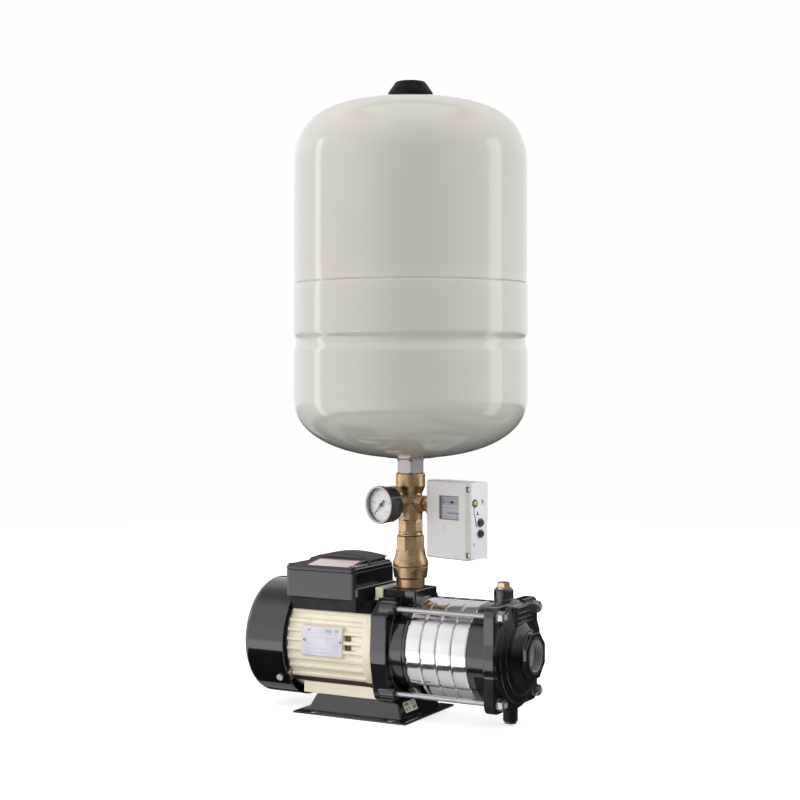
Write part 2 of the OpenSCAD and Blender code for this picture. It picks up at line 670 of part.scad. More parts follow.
module five_way_fitting() {
  color("#b0926a") difference() {
    union() {
      zlathe([[0, 210], [13.2, 210], [13.2, 222], [15.4, 222], [15.9, 224], [15, 226], [14.6, 240], [15, 250], [16, 253.5], [16.3, 262], [16, 270],
        [14.6, 271.8], [14.6, 276.8], [15.6, 277], [18.25, 284.4], [18.25, 299.8], [17.6, 300.5], [0, 300.5]]);
      // hexagonal ports of the switch and the gauge
      front() translate([0, port_z, 0]) {
        rotate([0, 90, 0]) cylinder(r = 10.97, h = 27, $fn = 6);
        cylinder(r = 10.97, h = 24 + gz, $fn = 6);
      }
      // outlet opposite the switch
      front() translate([0, port_z, 0]) rotate([0, -90, 0]) {
        cylinder(r = 18.2, h = 36);
        translate([0, 0, 23]) cylinder(r = 19.2, h = 12.4);
      }
      // flats at mid height
      translate([port_x, 0, 228]) rotate([0, 0, side_a + 22.5]) cylinder(r = 16.4, h = 14, $fn = 8);
    }
    port_rod(12, 205, 285);
    port_rod(13.3, 284, 301);
    front() translate([0, port_z, 0]) {
      rotate([0, 90, 0]) cylinder(r = 5.1, h = 30);
      cylinder(r = 5.1, h = 30);
    }
    front() translate([0, port_z, 0]) rotate([0, -90, 0]) {
      cylinder(r = 12, h = 22);
      translate([0, 0, 20]) cylinder(r = 15.15, h = 20);
    }
  }
}
module tank_nipple() {
  color("#9d9c98") difference() {
    union() {
      port_rod(13.2, 287, 330);
      translate([port_x, 0, 300.6]) rotate([0, 0, -61.5]) intersection() {
        cylinder(r = 18.6, h = 17, $fn = 6);
        cylinder(r1 = 17, r2 = 27, h = 17);
        cylinder(r1 = 27, r2 = 17, h = 17);
      }
    }
    port_rod(10, 280, 340);
  }
}

// ---------- tank ----------
// quarter of a rounded dome, from the axis out to the side
function dome(a, h, p, r0, n) = [for (i = [0:n]) let (t = 90 * i / n)
  [max(r0, a * pow(sin(t), 2 / p)), h * pow(cos(t), 2 / p)]];
top_c = tank_top - 92;                    // height where the upper dome starts
bot_c = 396;                              // height where the lower dome starts
module tank_upper_shell() {
  o = dome(tank_r - 0.8, 92, 2.6, 0, 26);
  i = dome(tank_r - 0.8 - tank_t, 92 - tank_t, 2.6, 0, 26);
  color("#dcd8d2") difference() {
    zlathe(concat([for (p = o) [p[0], top_c + p[1]]],
      [[tank_r - 0.8, seam_z + 1.2], [tank_r - 1.4, seam_z + 0.2], [tank_r - 1.4, seam_z - 10], [tank_r - 1.4 - tank_t, seam_z - 10],
       [tank_r - 1.4 - tank_t, seam_z + 6], [tank_r - 0.8 - tank_t, seam_z + 9]],
      [for (k = [26:-1:0]) [i[k][0], top_c + i[k][1]]]));
    port_rod(5, tank_top - 10, tank_top + 10);
  }
}
groove = [[0, 474], [0.9, 472], [2.2, 469.5], [2.9, 466], [2.9, 463], [2.4, 460], [1.3, 457], [0.4, 454.5], [0, 452]];
module tank_lower_shell() {
  o = dome(tank_r, 76.5, 2.25, 0, 26);
  i = dome(tank_r - tank_t, 76.5 - tank_t, 2.25, 0, 26);
  color("#dcd8d2") difference() {
    union() {
      zlathe(concat([for (p = o) [p[0], bot_c - p[1]]],
        [for (k = [len(groove) - 1:-1:0]) [tank_r - groove[k][0], groove[k][1]]],
        [[tank_r, seam_z - 0.9], [tank_r - 0.4, seam_z], [tank_r - tank_t, seam_z]],
        [for (g = groove) [tank_r - tank_t - g[0], g[1]]],
        [for (k = [26:-1:0]) [i[k][0], bot_c - i[k][1]]]));
      // welded collar of the water connection
      zlathe([[0, 317.7], [17.6, 317.7], [17.6, 318.6], [20, 319.6], [30, 320.6], [30, 322.5], [17.6, 324], [17.6, 336], [0, 336]]);
    }
    port_rod(13.3, 300, 360);
  }
}
module tank_diaphragm() {
  n = 20;
  o = dome(tank_r - 7, 150, 2.6, 0, n);
  i = dome(tank_r - 9.5, 147.5, 2.6, 0, n);
  color("#29292c") zlathe(concat(
    [for (p = o) [p[0], 500 - p[1]]],
    [[tank_r - 7, 524], [tank_r - 2.7, 526], [tank_r - 2.7, 534], [tank_r - 6, 536], [tank_r - 9.5, 534]],
    [for (k = [n:-1:0]) [i[k][0], 500 - i[k][1]]]));
}
module tank_air_valve() {
  color("#b0926a") difference() {
    union() {
      port_rod(4.9, tank_top - 8, tank_top + 1);
      port_rod(3.9, tank_top, tank_top + 12);
      port_rod(9, tank_top - 8, tank_top - 3.8);
    }
    port_rod(2.1, tank_top + 2, tank_top + 14);
  }
  color("silver") port_rod(0.8, tank_top + 1.9, tank_top + 11);
}
module tank_valve_cap() {
  b = tank_top - 0.2;
  color("#19191c") difference() {
    zlathe([[0, b], [28, b], [28, b + 2.6], [27.2, b + 4.4], [20.2, b + 14.6], [18.6, b + 16.4], [15, b + 17.2], [0, b + 17.2]]);
    // room inside for the valve, and a hollow that clears the dome
    zlathe([[0, b - 1], [25, b - 1], [25, b + 0.4], [24, b + 3], [17.5, b + 12.6], [11, b + 12.6], [11, b + 0.6], [0, b + 0.6]]);
    port_rod(9, tank_top - 4, tank_top + 13.4);
  }
}

// ---------- gauge, in the front frame ----------
module gfront() { front() translate([0, port_z, gz]) children(); }
module gauge_stem() {
  color("#b0926a") gfront() {
    difference() {
      union() {
        translate([0, 0, 12]) cylinder(r = 5, h = 12.2);
        translate([0, 0, 24.1]) cylinder(r = 8.1, h = 5.8, $fn = 6);
        translate([0, 0, 29.8]) cylinder(r = 5.2, h = 5.2);
        translate([-5, -5, 31.7]) cube([10, 10, 3.3]);
      }
      translate([0, 0, 10]) cylinder(r = 2, h = 22);
    }
    // curved tube that opens out under pressure
    difference() {
      translate([0, 0, 32.3]) cylinder(r = 18.5, h = 2.6);
      translate([0, 0, 32]) cylinder(r = 16, h = 4);
      translate([-2, 0, 32]) rotate([0, 0, 35]) cube([30, 30, 4]);
      translate([0, 0, 32]) cube([30, 12, 4]);
    }
    translate([-17, -1.5, 32.3]) cube([13, 3, 2.6]);
    // plate that carries the movement, with its pivots
    difference() {
      translate([-7, -16, 35]) cube([14, 21, 1]);
      translate([0, 0, 30]) cylinder(r = 1.06, h = 10);
      translate([0, -12, 30]) cylinder(r = 1.06, h = 10);
    }
  }
}
module gauge_case() {
  color("#1c1c20") gfront() difference() {
    rotate_extrude() polygon(concat([[0, 29.9], [gauge_r - 5, 29.9]],
      [for (i = [0:8]) [gauge_r - 5 + 5 * sin(11.25 * i), 34.9 - 5 * cos(11.25 * i)]], [[gauge_r, 49], [0, 49]]));
    rotate_extrude() polygon(concat([[0, 31.6], [gauge_r - 5, 31.6]],
      [for (i = [0:8]) [gauge_r - 5 + 3.6 * sin(11.25 * i), 35.2 - 3.6 * cos(11.25 * i)]], [[gauge_r - 1.4, 52], [0, 52]]));
    translate([0, 0, 28]) cylinder(r = 5.3, h = 6);
  }
}
module gauge_bezel() {
  color("#a8a9ad") gfront() difference() {
    union() {
      translate([0, 0, 48.5]) cylinder(r = gauge_r + 1, h = 4.7);
      translate([0, 0, 53.2]) cylinder(r1 = gauge_r + 1, r2 = gauge_r + 0.2, h = 0.8);
    }
    translate([0, 0, 44]) cylinder(r = gauge_r + 0.1, h = 8.2);
    translate([0, 0, 50.5]) cylinder(r = gauge_r - 0.2, h = 1.7);
    translate([0, 0, 50]) cylinder(r = gauge_r - 2, h = 8);
  }
}
module gauge_lens() {
  color("#dfe8ee", 0.35) gfront() translate([0, 0, 50.6]) cylinder(r = gauge_r - 0.3, h = 1.5);
}
module gauge_dial() {
  color("#f2f2f2") gfront() difference() {
    translate([0, 0, 46.2]) cylinder(r = gauge_r - 1.5, h = 0.8);
    translate([0, 0, 45]) cylinder(r = 1.6, h = 4);
  }
}
gm = 0.4; zp = 10; zs = 50;
module tooth(r, m) { polygon([[r - 1.35 * m, -0.78 * m], [r, -0.62 * m], [r + 0.66 * m, -0.3 * m], [r + 0.66 * m, 0.3 * m], [r, 0.62 * m], [r - 1.35 * m, 0.78 * m]]); }
module gauge_needle() {
  color("#18181a") gfront() {
    // arbor and pinion
    translate([0, 0, 35.1]) cylinder(r = 1, h = 14.6);
    translate([0, 0, 38]) linear_extrude(1.2) {
      circle(r = zp * gm / 2 - 1.25 * gm, $fn = 24);
      for (k = [0:zp - 1]) rotate(-90 + 360 / zp * (k + 0.5)) tooth(zp * gm / 2, gm);
    }
    // needle, at rest on the zero of the scale
    translate([0, 0, 48.8]) cylinder(r = 2.2, h = 1.2);
    rotate([0, 0, 225]) translate([0, 0, 49]) linear_extrude(0.5)
      polygon([[-8, -1.1], [0, -0.8], [16.5, -0.15], [16.5, 0.15], [0, 0.8], [-8, 1.1]]);
  }
}
module gauge_sector() {
  color("#b89a5a") gfront() translate([0, -12, 0]) {
    translate([0, 0, 35.1]) cylinder(r = 1, h = 5.4);
    translate([0, 0, 38]) linear_extrude(1.2) {
      difference() {
        union() {
          difference() {
            circle(r = zs * gm / 2 - 1.25 * gm);
            rotate(90 + 11) square([30, 30]);
            rotate(90 + 11) translate([0, -0.01]) square([30, 30]);
            rotate(180) translate([-30, 0]) square([60, 30]);
            rotate(90 - 65) translate([-30, -30]) square([60, 30]);
          }
          circle(r = 2.4, $fn = 32);
          for (k = [-8:1]) rotate(90 + 360 / zs * k) tooth(zs * gm / 2, gm);
          // tail to the link of the curved tube
          rotate(-20) translate([0, -1]) square([7, 2]);
        }
        rotate(90 - 27) translate([4.6, 0]) circle(r = 1.5, $fn = 24);
      }
    }
  }
}

// ---------- pressure switch, in the front frame ----------
sw_x0 = 46; sw_x1 = 114; sw_y0 = 202; sw_y1 = 294; sw_z0 = -18; sw_z1 = 18;
module switch_housing() {
  color("#e4e6ea") front() difference() {
    union() {
      difference() {
        translate([sw_x0, sw_y0, sw_z0]) cube([sw_x1 - sw_x0, sw_y1 - sw_y0, sw_z1 - sw_z0 - 3.2]);
        translate([sw_x0 + 1.6, sw_y0 + 1.6, sw_z0 + 1.6]) cube([sw_x1 - sw_x0 - 3.6, sw_y1 - sw_y0 - 3.2, 60]);
      }
      // bracket that carries the pivot of the arm
      translate([56, 207, sw_z0 + 1]) cube([8, 8, 12]);
    }
    // room for the rounded corner of the cover
    translate([sw_x1 - 4, sw_y0 - 1, 11]) cube([10, sw_y1 - sw_y0 + 2, 20]);
    // bellows neck
    translate([sw_x0 - 5, port_z, 0]) rotate([0, 90, 0]) cylinder(r = 9.1, h = 10);
    // spindles
    translate([sw_x1 - 10, 245.5, -5]) rotate([0, 90, 0]) cylinder(r = 3.05, h = 14);
    translate([sw_x1 - 10, 232.3, -5]) rotate([0, 90, 0]) cylinder(r = 3.05, h = 14);
    translate([60, 211, sw_z0 + 3]) cylinder(r = 1.55, h = 12);
  }
}
module switch_cover() {
  color("#d4d1cc") front() difference() {
    translate([0, sw_y1 + 1.2, 0]) rotate([90, 0, 0]) linear_extrude(sw_y1 - sw_y0 + 2.4)
      polygon(concat([[sw_x0 - 1.2, 2], [sw_x1 - 2.2, 2], [sw_x1 - 2.2, 11.2], [sw_x1, 11.2]],
        [for (i = [0:9]) [sw_x1 - 6 + 6 * cos(10 * i), sw_z1 - 6 + 6 * sin(10 * i)]], [[sw_x0 - 1.2, sw_z1]]));
    translate([0, sw_y1 + 0.1, 0]) rotate([90, 0, 0]) linear_extrude(sw_y1 - sw_y0 + 0.2)
      polygon(concat([[sw_x0 - 0.1, -1], [sw_x1 - 1.4, -1]],
        [for (i = [0:9]) [sw_x1 - 6 + 4.6 * cos(10 * i), sw_z1 - 6 + 4.6 * sin(10 * i)]], [[sw_x0 - 0.1, sw_z1 - 1.4]]));
    // scale window
    translate([67, 248.4, 0]) cube([33, 29, 40]);
    translate([sw_x0 - 5, port_z, 0]) rotate([0, 90, 0]) cylinder(r = 10.5, h = 10);
  }
}
module switch_scale_plate() {
  color("#9b9aa2") front() difference() {
    translate([64, 245, 13.9]) cube([39, 35.5, 0.8]);
    // slot in which the pointer travels
    translate([70, 268, 10]) cube([28, 3, 10]);
  }
  color("#9b9aa2") front() for (y = [246, 277]) translate([62, y, -16.4]) cube([2, 2, 30.3]);
  color("#9b9aa2") front() for (y = [246, 277]) translate([62, y, 13.4]) cube([5, 2, 1.3]);
}
module switch_bellows() {
  color("#b0926a") front() translate([0, port_z, 0]) rotate([0, 90, 0]) difference() {
    union() {
      translate([0, 0, 20]) cylinder(r = 5, h = 7.2);
      translate([0, 0, 27.1]) cylinder(r = 8.66, h = 8, $fn = 6);
      translate([0, 0, 35]) cylinder(r = 6.5, h = 4.1);
      translate([0, 0, 39]) cylinder(r = 15, h = 5.6);
      translate([0, 0, 44.5]) cylinder(r = 9, h = 4);
      for (k = [0:2]) translate([0, 0, 48.5 + 1.7 * k]) { cylinder(r = 11, h = 0.9); cylinder(r = 9, h = 1.8); }
      translate([0, 0, 53.4]) cylinder(r = 3, h = 1.4);
    }
    translate([0, 0, 10]) cylinder(r = 2, h = 40);
  }
}
module switch_arm() {
  color("#b8a04a") front() {
    difference() {
      union() {
        translate([55, 208, -3.8]) cube([2, 64, 10]);
        translate([55, 207.5, -3.8]) cube([7.6, 7, 2]);
        translate([60, 211, -14]) cylinder(r = 1.5, h = 12);
      }
    }
    // bridge that works the contact
    translate([57, 220, 2]) cube([12, 4, 2]);
  }
}
module range_spindle() {
  color("#1b1b1e") front() translate([0, 245.5, -5]) rotate([0, 90, 0]) difference() {
    union() {
      translate([0, 0, 74]) cylinder(r = 2.2, h = 38);
      translate([0, 0, 106.5]) cylinder(r = 3, h = 8);
      translate([0, 0, 109]) cylinder(r = 4.4, h = 2.9);
      translate([0, 0, sw_x1 + 0.2]) cylinder(r = 4, h = 2.2);
    }
    translate([-2.6, -0.5, sw_x1 + 1.2]) cube([5.2, 1, 4]);
  }
}
module range_pointer() {
  color("#c23b2e") front() difference() {
    union() {
      translate([82, 240, -10]) cube([6, 11, 10]);
      translate([84, 250.9, -6]) cube([2, 19.4, 2]);
      translate([84, 268.3, -6]) cube([2, 2.4, 23]);
    }
    translate([80, 245.5, -5]) rotate([0, 90, 0]) cylinder(r = 2.25, h = 10);
  }
}
module differential_spindle() {
  color("#1b1b1e") front() translate([0, 232.3, -5]) rotate([0, 90, 0]) difference() {
    union() {
      translate([0, 0, 80]) cylinder(r = 2.2, h = 32);
      translate([0, 0, 106.5]) cylinder(r = 3, h = 8);
      translate([0, 0, 109]) cylinder(r = 4.4, h = 2.9);
      translate([0, 0, sw_x1 + 0.2]) cylinder(r = 4, h = 2.2);
    }
    translate([-2.6, -0.5, sw_x1 + 1.2]) cube([5.2, 1, 4]);
  }
}

base_plate();
foot_bolts();
stator_housing();
stator_core();
stator_windings();
nameplate();
rear_end_shield();
fan_cover();
cover_screws();
terminal_box_base();
terminal_box_lid();
terminal_block();
capacitor();
cable_gland();
bearing_outer_races();
bearing_inner_races();
bearing_balls();
shaft();
rotor_core();
cooling_fan();
impellers();
impeller_nut();
shaft_seal_ring();
shaft_seal_seat();
discharge_casing();
stage_shells();
diffusers();
stage_o_rings();
suction_casing();
tie_rods();
tie_rod_nuts();
priming_plug();
drain_plug();
discharge_nipple();
check_valve_cap();
check_valve_body();
check_poppet();
poppet_spring();
five_way_fitting();
tank_nipple();
tank_lower_shell();
tank_upper_shell();
tank_diaphragm();
tank_air_valve();
tank_valve_cap();
gauge_stem();
gauge_case();
gauge_bezel();
gauge_lens();
gauge_dial();
gauge_needle();
gauge_sector();
switch_housing();
switch_cover();
switch_scale_plate();
switch_bellows();
switch_arm();
range_spindle();
range_pointer();
differential_spindle();
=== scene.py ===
import json
import math

import bmesh
import bpy
from mathutils import Matrix, Vector

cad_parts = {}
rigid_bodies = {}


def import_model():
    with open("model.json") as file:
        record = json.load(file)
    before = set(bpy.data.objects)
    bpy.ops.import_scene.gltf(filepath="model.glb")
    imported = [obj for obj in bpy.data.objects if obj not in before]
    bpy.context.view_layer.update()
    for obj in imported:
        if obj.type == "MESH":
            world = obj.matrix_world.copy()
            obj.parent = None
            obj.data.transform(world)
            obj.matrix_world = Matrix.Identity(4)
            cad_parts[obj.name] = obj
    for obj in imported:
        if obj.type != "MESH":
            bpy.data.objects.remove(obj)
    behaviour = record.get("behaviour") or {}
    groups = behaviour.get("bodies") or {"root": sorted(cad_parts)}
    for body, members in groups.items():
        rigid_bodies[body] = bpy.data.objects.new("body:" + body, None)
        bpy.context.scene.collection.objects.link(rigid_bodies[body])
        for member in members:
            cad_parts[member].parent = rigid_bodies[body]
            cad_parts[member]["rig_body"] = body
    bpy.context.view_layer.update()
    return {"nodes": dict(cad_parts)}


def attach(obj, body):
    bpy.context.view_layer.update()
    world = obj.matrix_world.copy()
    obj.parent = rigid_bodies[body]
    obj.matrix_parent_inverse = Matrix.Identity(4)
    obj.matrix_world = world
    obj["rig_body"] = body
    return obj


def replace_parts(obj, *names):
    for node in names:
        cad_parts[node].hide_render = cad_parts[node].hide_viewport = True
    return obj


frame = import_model()
NODES = frame["nodes"]
SCENE = bpy.context.scene
MM = 0.001
PORT_X, SHAFT_Z, PORT_Z = 52.0, 86.0, 263.6
SIDE = math.radians(-17)

# ---------------------------------------------------------------- camera
cam = bpy.data.objects.new("camera", bpy.data.cameras.new("camera"))
SCENE.collection.objects.link(cam)
SCENE.camera = cam
cam.location = (0.9948, -1.7639, 0.4276)
cam.rotation_euler = (math.radians(90), 0, math.radians(28.5))
cam.data.lens = 72
cam.data.sensor_width = 36
cam.data.shift_y = -0.036
SCENE.view_settings.view_transform = "Standard"

# ---------------------------------------------------------------- frames
# turned parts on the shaft line: local z runs along +X
SHAFT = Matrix.Translation((0, 0, SHAFT_Z)) @ Matrix.Rotation(math.radians(90), 4, "Y")
# the discharge axis
PORT = Matrix.Translation((PORT_X, 0, 0))
# gauge and switch: local x to the right, y up, z to the front
FRONT = PORT @ Matrix.Rotation(SIDE, 4, "Z") @ Matrix.Rotation(math.radians(90), 4, "X")
GAUGE = FRONT @ Matrix.Translation((0, PORT_Z, 2.2))
ONE = Matrix.Identity(4)


# ---------------------------------------------------------------- node helpers
class Nodes:
    def __init__(self, name):
        self.mat = bpy.data.materials.new(name)
        self.mat.use_nodes = True
        self.t = self.mat.node_tree
        self.t.nodes.clear()
        self.out = self.t.nodes.new("ShaderNodeOutputMaterial")
        self.bsdf = self.t.nodes.new("ShaderNodeBsdfPrincipled")
        self.link(self.bsdf.outputs[0], self.out.inputs[0])
        self.coord = self.t.nodes.new("ShaderNodeTexCoord").outputs["Object"]

    def link(self, a, b):
        self.t.links.new(a, b)

    def set(self, **kw):
        names = {"base": "Base Color", "rough": "Roughness", "metal": "Metallic", "ior": "IOR", "coat": "Coat Weight",
                 "coat_rough": "Coat Roughness", "spec": "Specular IOR Level", "aniso": "Anisotropic", "trans": "Transmission Weight",
                 "sheen": "Sheen Weight", "sub": "Subsurface Weight"}
        for k, v in kw.items():
            if isinstance(v, (tuple, list)):
                v = (*v, 1.0)[:4]
            self.bsdf.inputs[names[k]].default_value = v
        return self

    def scaled(self, s):
        n = self.t.nodes.new("ShaderNodeMapping")
        n.inputs["Scale"].default_value = s if isinstance(s, (tuple, list)) else (s, s, s)
        self.link(self.coord, n.inputs["Vector"])
        return n.outputs[0]

    def noise(self, scale, detail=3.0, rough=0.55, at=None):
        n = self.t.nodes.new("ShaderNodeTexNoise")
        n.inputs["Scale"].default_value = scale
        n.inputs["Detail"].default_value = detail
        n.inputs["Roughness"].default_value = rough
        self.link(at or self.coord, n.inputs["Vector"])
        return n.outputs["Fac"]

    def voronoi(self, scale, at=None):
        n = self.t.nodes.new("ShaderNodeTexVoronoi")
        n.inputs["Scale"].default_value = scale
        self.link(at or self.coord, n.inputs["Vector"])
        return n.outputs["Distance"]

    def ramp(self, fac, stops):
        n = self.t.nodes.new("ShaderNodeValToRGB")
        n.color_ramp.elements[0].position = stops[0][0]
        n.color_ramp.elements[0].color = (*stops[0][1], 1)
        n.color_ramp.elements[1].position = stops[-1][0]
        n.color_ramp.elements[1].color = (*stops[-1][1], 1)
        for p, c in stops[1:-1]:
            n.color_ramp.elements.new(p).color = (*c, 1)
        self.link(fac, n.inputs[0])
        return n.outputs[0]

    def range(self, v, a, b, lo, hi):
        n = self.t.nodes.new("ShaderNodeMapRange")
        for key, x in (("From Min", a), ("From Max", b), ("To Min", lo), ("To Max", hi)):
            n.inputs[key].default_value = x
        self.link(v, n.inputs["Value"])
        return n.outputs[0]

    def math(self, op, a, b=None):
        n = self.t.nodes.new("ShaderNodeMath")
        n.operation = op
        for i, x in enumerate((a, b)):
            if x is None:
                continue
            if isinstance(x, (int, float)):
                n.inputs[i].default_value = x
            else:
                self.link(x, n.inputs[i])
        return n.outputs[0]

    def mix(self, fac, a, b):
        n = self.t.nodes.new("ShaderNodeMix")
        n.data_type = "RGBA"
        for key, x in ((0, fac), (6, a), (7, b)):
            if isinstance(x, (tuple, list)):
                n.inputs[key].default_value = (*x, 1)[:4]
            elif isinstance(x, (int, float)):
                n.inputs[key].default_value = x
            else:
                self.link(x, n.inputs[key])
        return n.outputs[2]

    def edges(self, radius):
        """1 on outer edges of the shape, 0 on its flats."""
        b = self.t.nodes.new("ShaderNodeBevel")
        b.samples = 4
        b.inputs["Radius"].default_value = radius
        g = self.t.nodes.new("ShaderNodeNewGeometry")
        d = self.t.nodes.new("ShaderNodeVectorMath")
        d.operation = "DOT_PRODUCT"
        self.link(b.outputs[0], d.inputs[0])
        self.link(g.outputs["Normal"], d.inputs[1])
        return self.range(d.outputs["Value"], 0.97, 0.75, 0.0, 1.0)

    def bump(self, height, distance, strength=1.0, round_edges=None):
        n = self.t.nodes.new("ShaderNodeBump")
        n.inputs["Strength"].default_value = strength
        n.inputs["Distance"].default_value = distance
        self.link(height, n.inputs["Height"])
        if round_edges:
            b = self.t.nodes.new("ShaderNodeBevel")
            b.samples = 6
            b.inputs["Radius"].default_value = round_edges
            self.link(b.outputs[0], n.inputs["Normal"])
        self.link(n.outputs[0], self.bsdf.inputs["Normal"])
        return self

    def to(self, out, key):
        self.link(out, self.bsdf.inputs[key])
        return self


def enamel(name, dark, light, rough=0.16, coat=0.6, peel=0.00003, peel_scale=260, edge=None, edge_colour=(0.1, 0.1, 0.11), soft=0.0005, patch=14, spec=0.5):
    n = Nodes(name).set(rough=rough, coat=coat, coat_rough=0.06, spec=spec)
    tone = n.ramp(n.noise(patch, 4), [(0.35, dark), (0.65, light)])
    if edge:
        tone = n.mix(n.math("MULTIPLY", n.edges(edge), n.noise(420, 2)), tone, edge_colour)
    n.to(tone, "Base Color")
    n.to(n.range(n.noise(55, 4), 0.3, 0.7, rough * 0.8, rough * 1.35), "Roughness")
    n.bump(n.noise(peel_scale, 3), peel, 1.0, soft)
    return n.mat


def metal(name, dark, light, rough=0.25, grain=(60, 60, 60), grain_depth=0.000015, fine=900, soft=0.0004, stain=None, aniso=0.0):
    n = Nodes(name).set(metal=1.0, rough=rough, aniso=aniso)
    g = n.noise(8, 3, 0.6, n.scaled(grain))
    tone = n.ramp(n.noise(30, 4), [(0.3, dark), (0.7, light)])
    if stain:
        tone = n.mix(n.range(n.noise(70, 5, 0.7), 0.52, 0.75, 0.0, 0.6), tone, stain)
    n.to(tone, "Base Color")
    n.to(n.math("ADD", n.range(g, 0.3, 0.7, rough * 0.7, rough * 1.3), n.range(n.noise(fine, 2), 0.4, 0.6, -0.03, 0.03)), "Roughness")
    n.bump(g, grain_depth, 1.0, soft)
    return n.mat


def plastic(name, dark, light, rough=0.3, spark=0.00002, spark_scale=900, coat=0.0, soft=0.0005, spec=0.5):
    n = Nodes(name).set(rough=rough, coat=coat, coat_rough=0.1, spec=spec)
    n.to(n.ramp(n.noise(40, 3), [(0.35, dark), (0.65, light)]), "Base Color")
    n.to(n.range(n.noise(90, 4), 0.3, 0.7, rough * 0.8, rough * 1.25), "Roughness")
    n.bump(n.noise(spark_scale, 2), spark, 1.0, soft)
    return n.mat


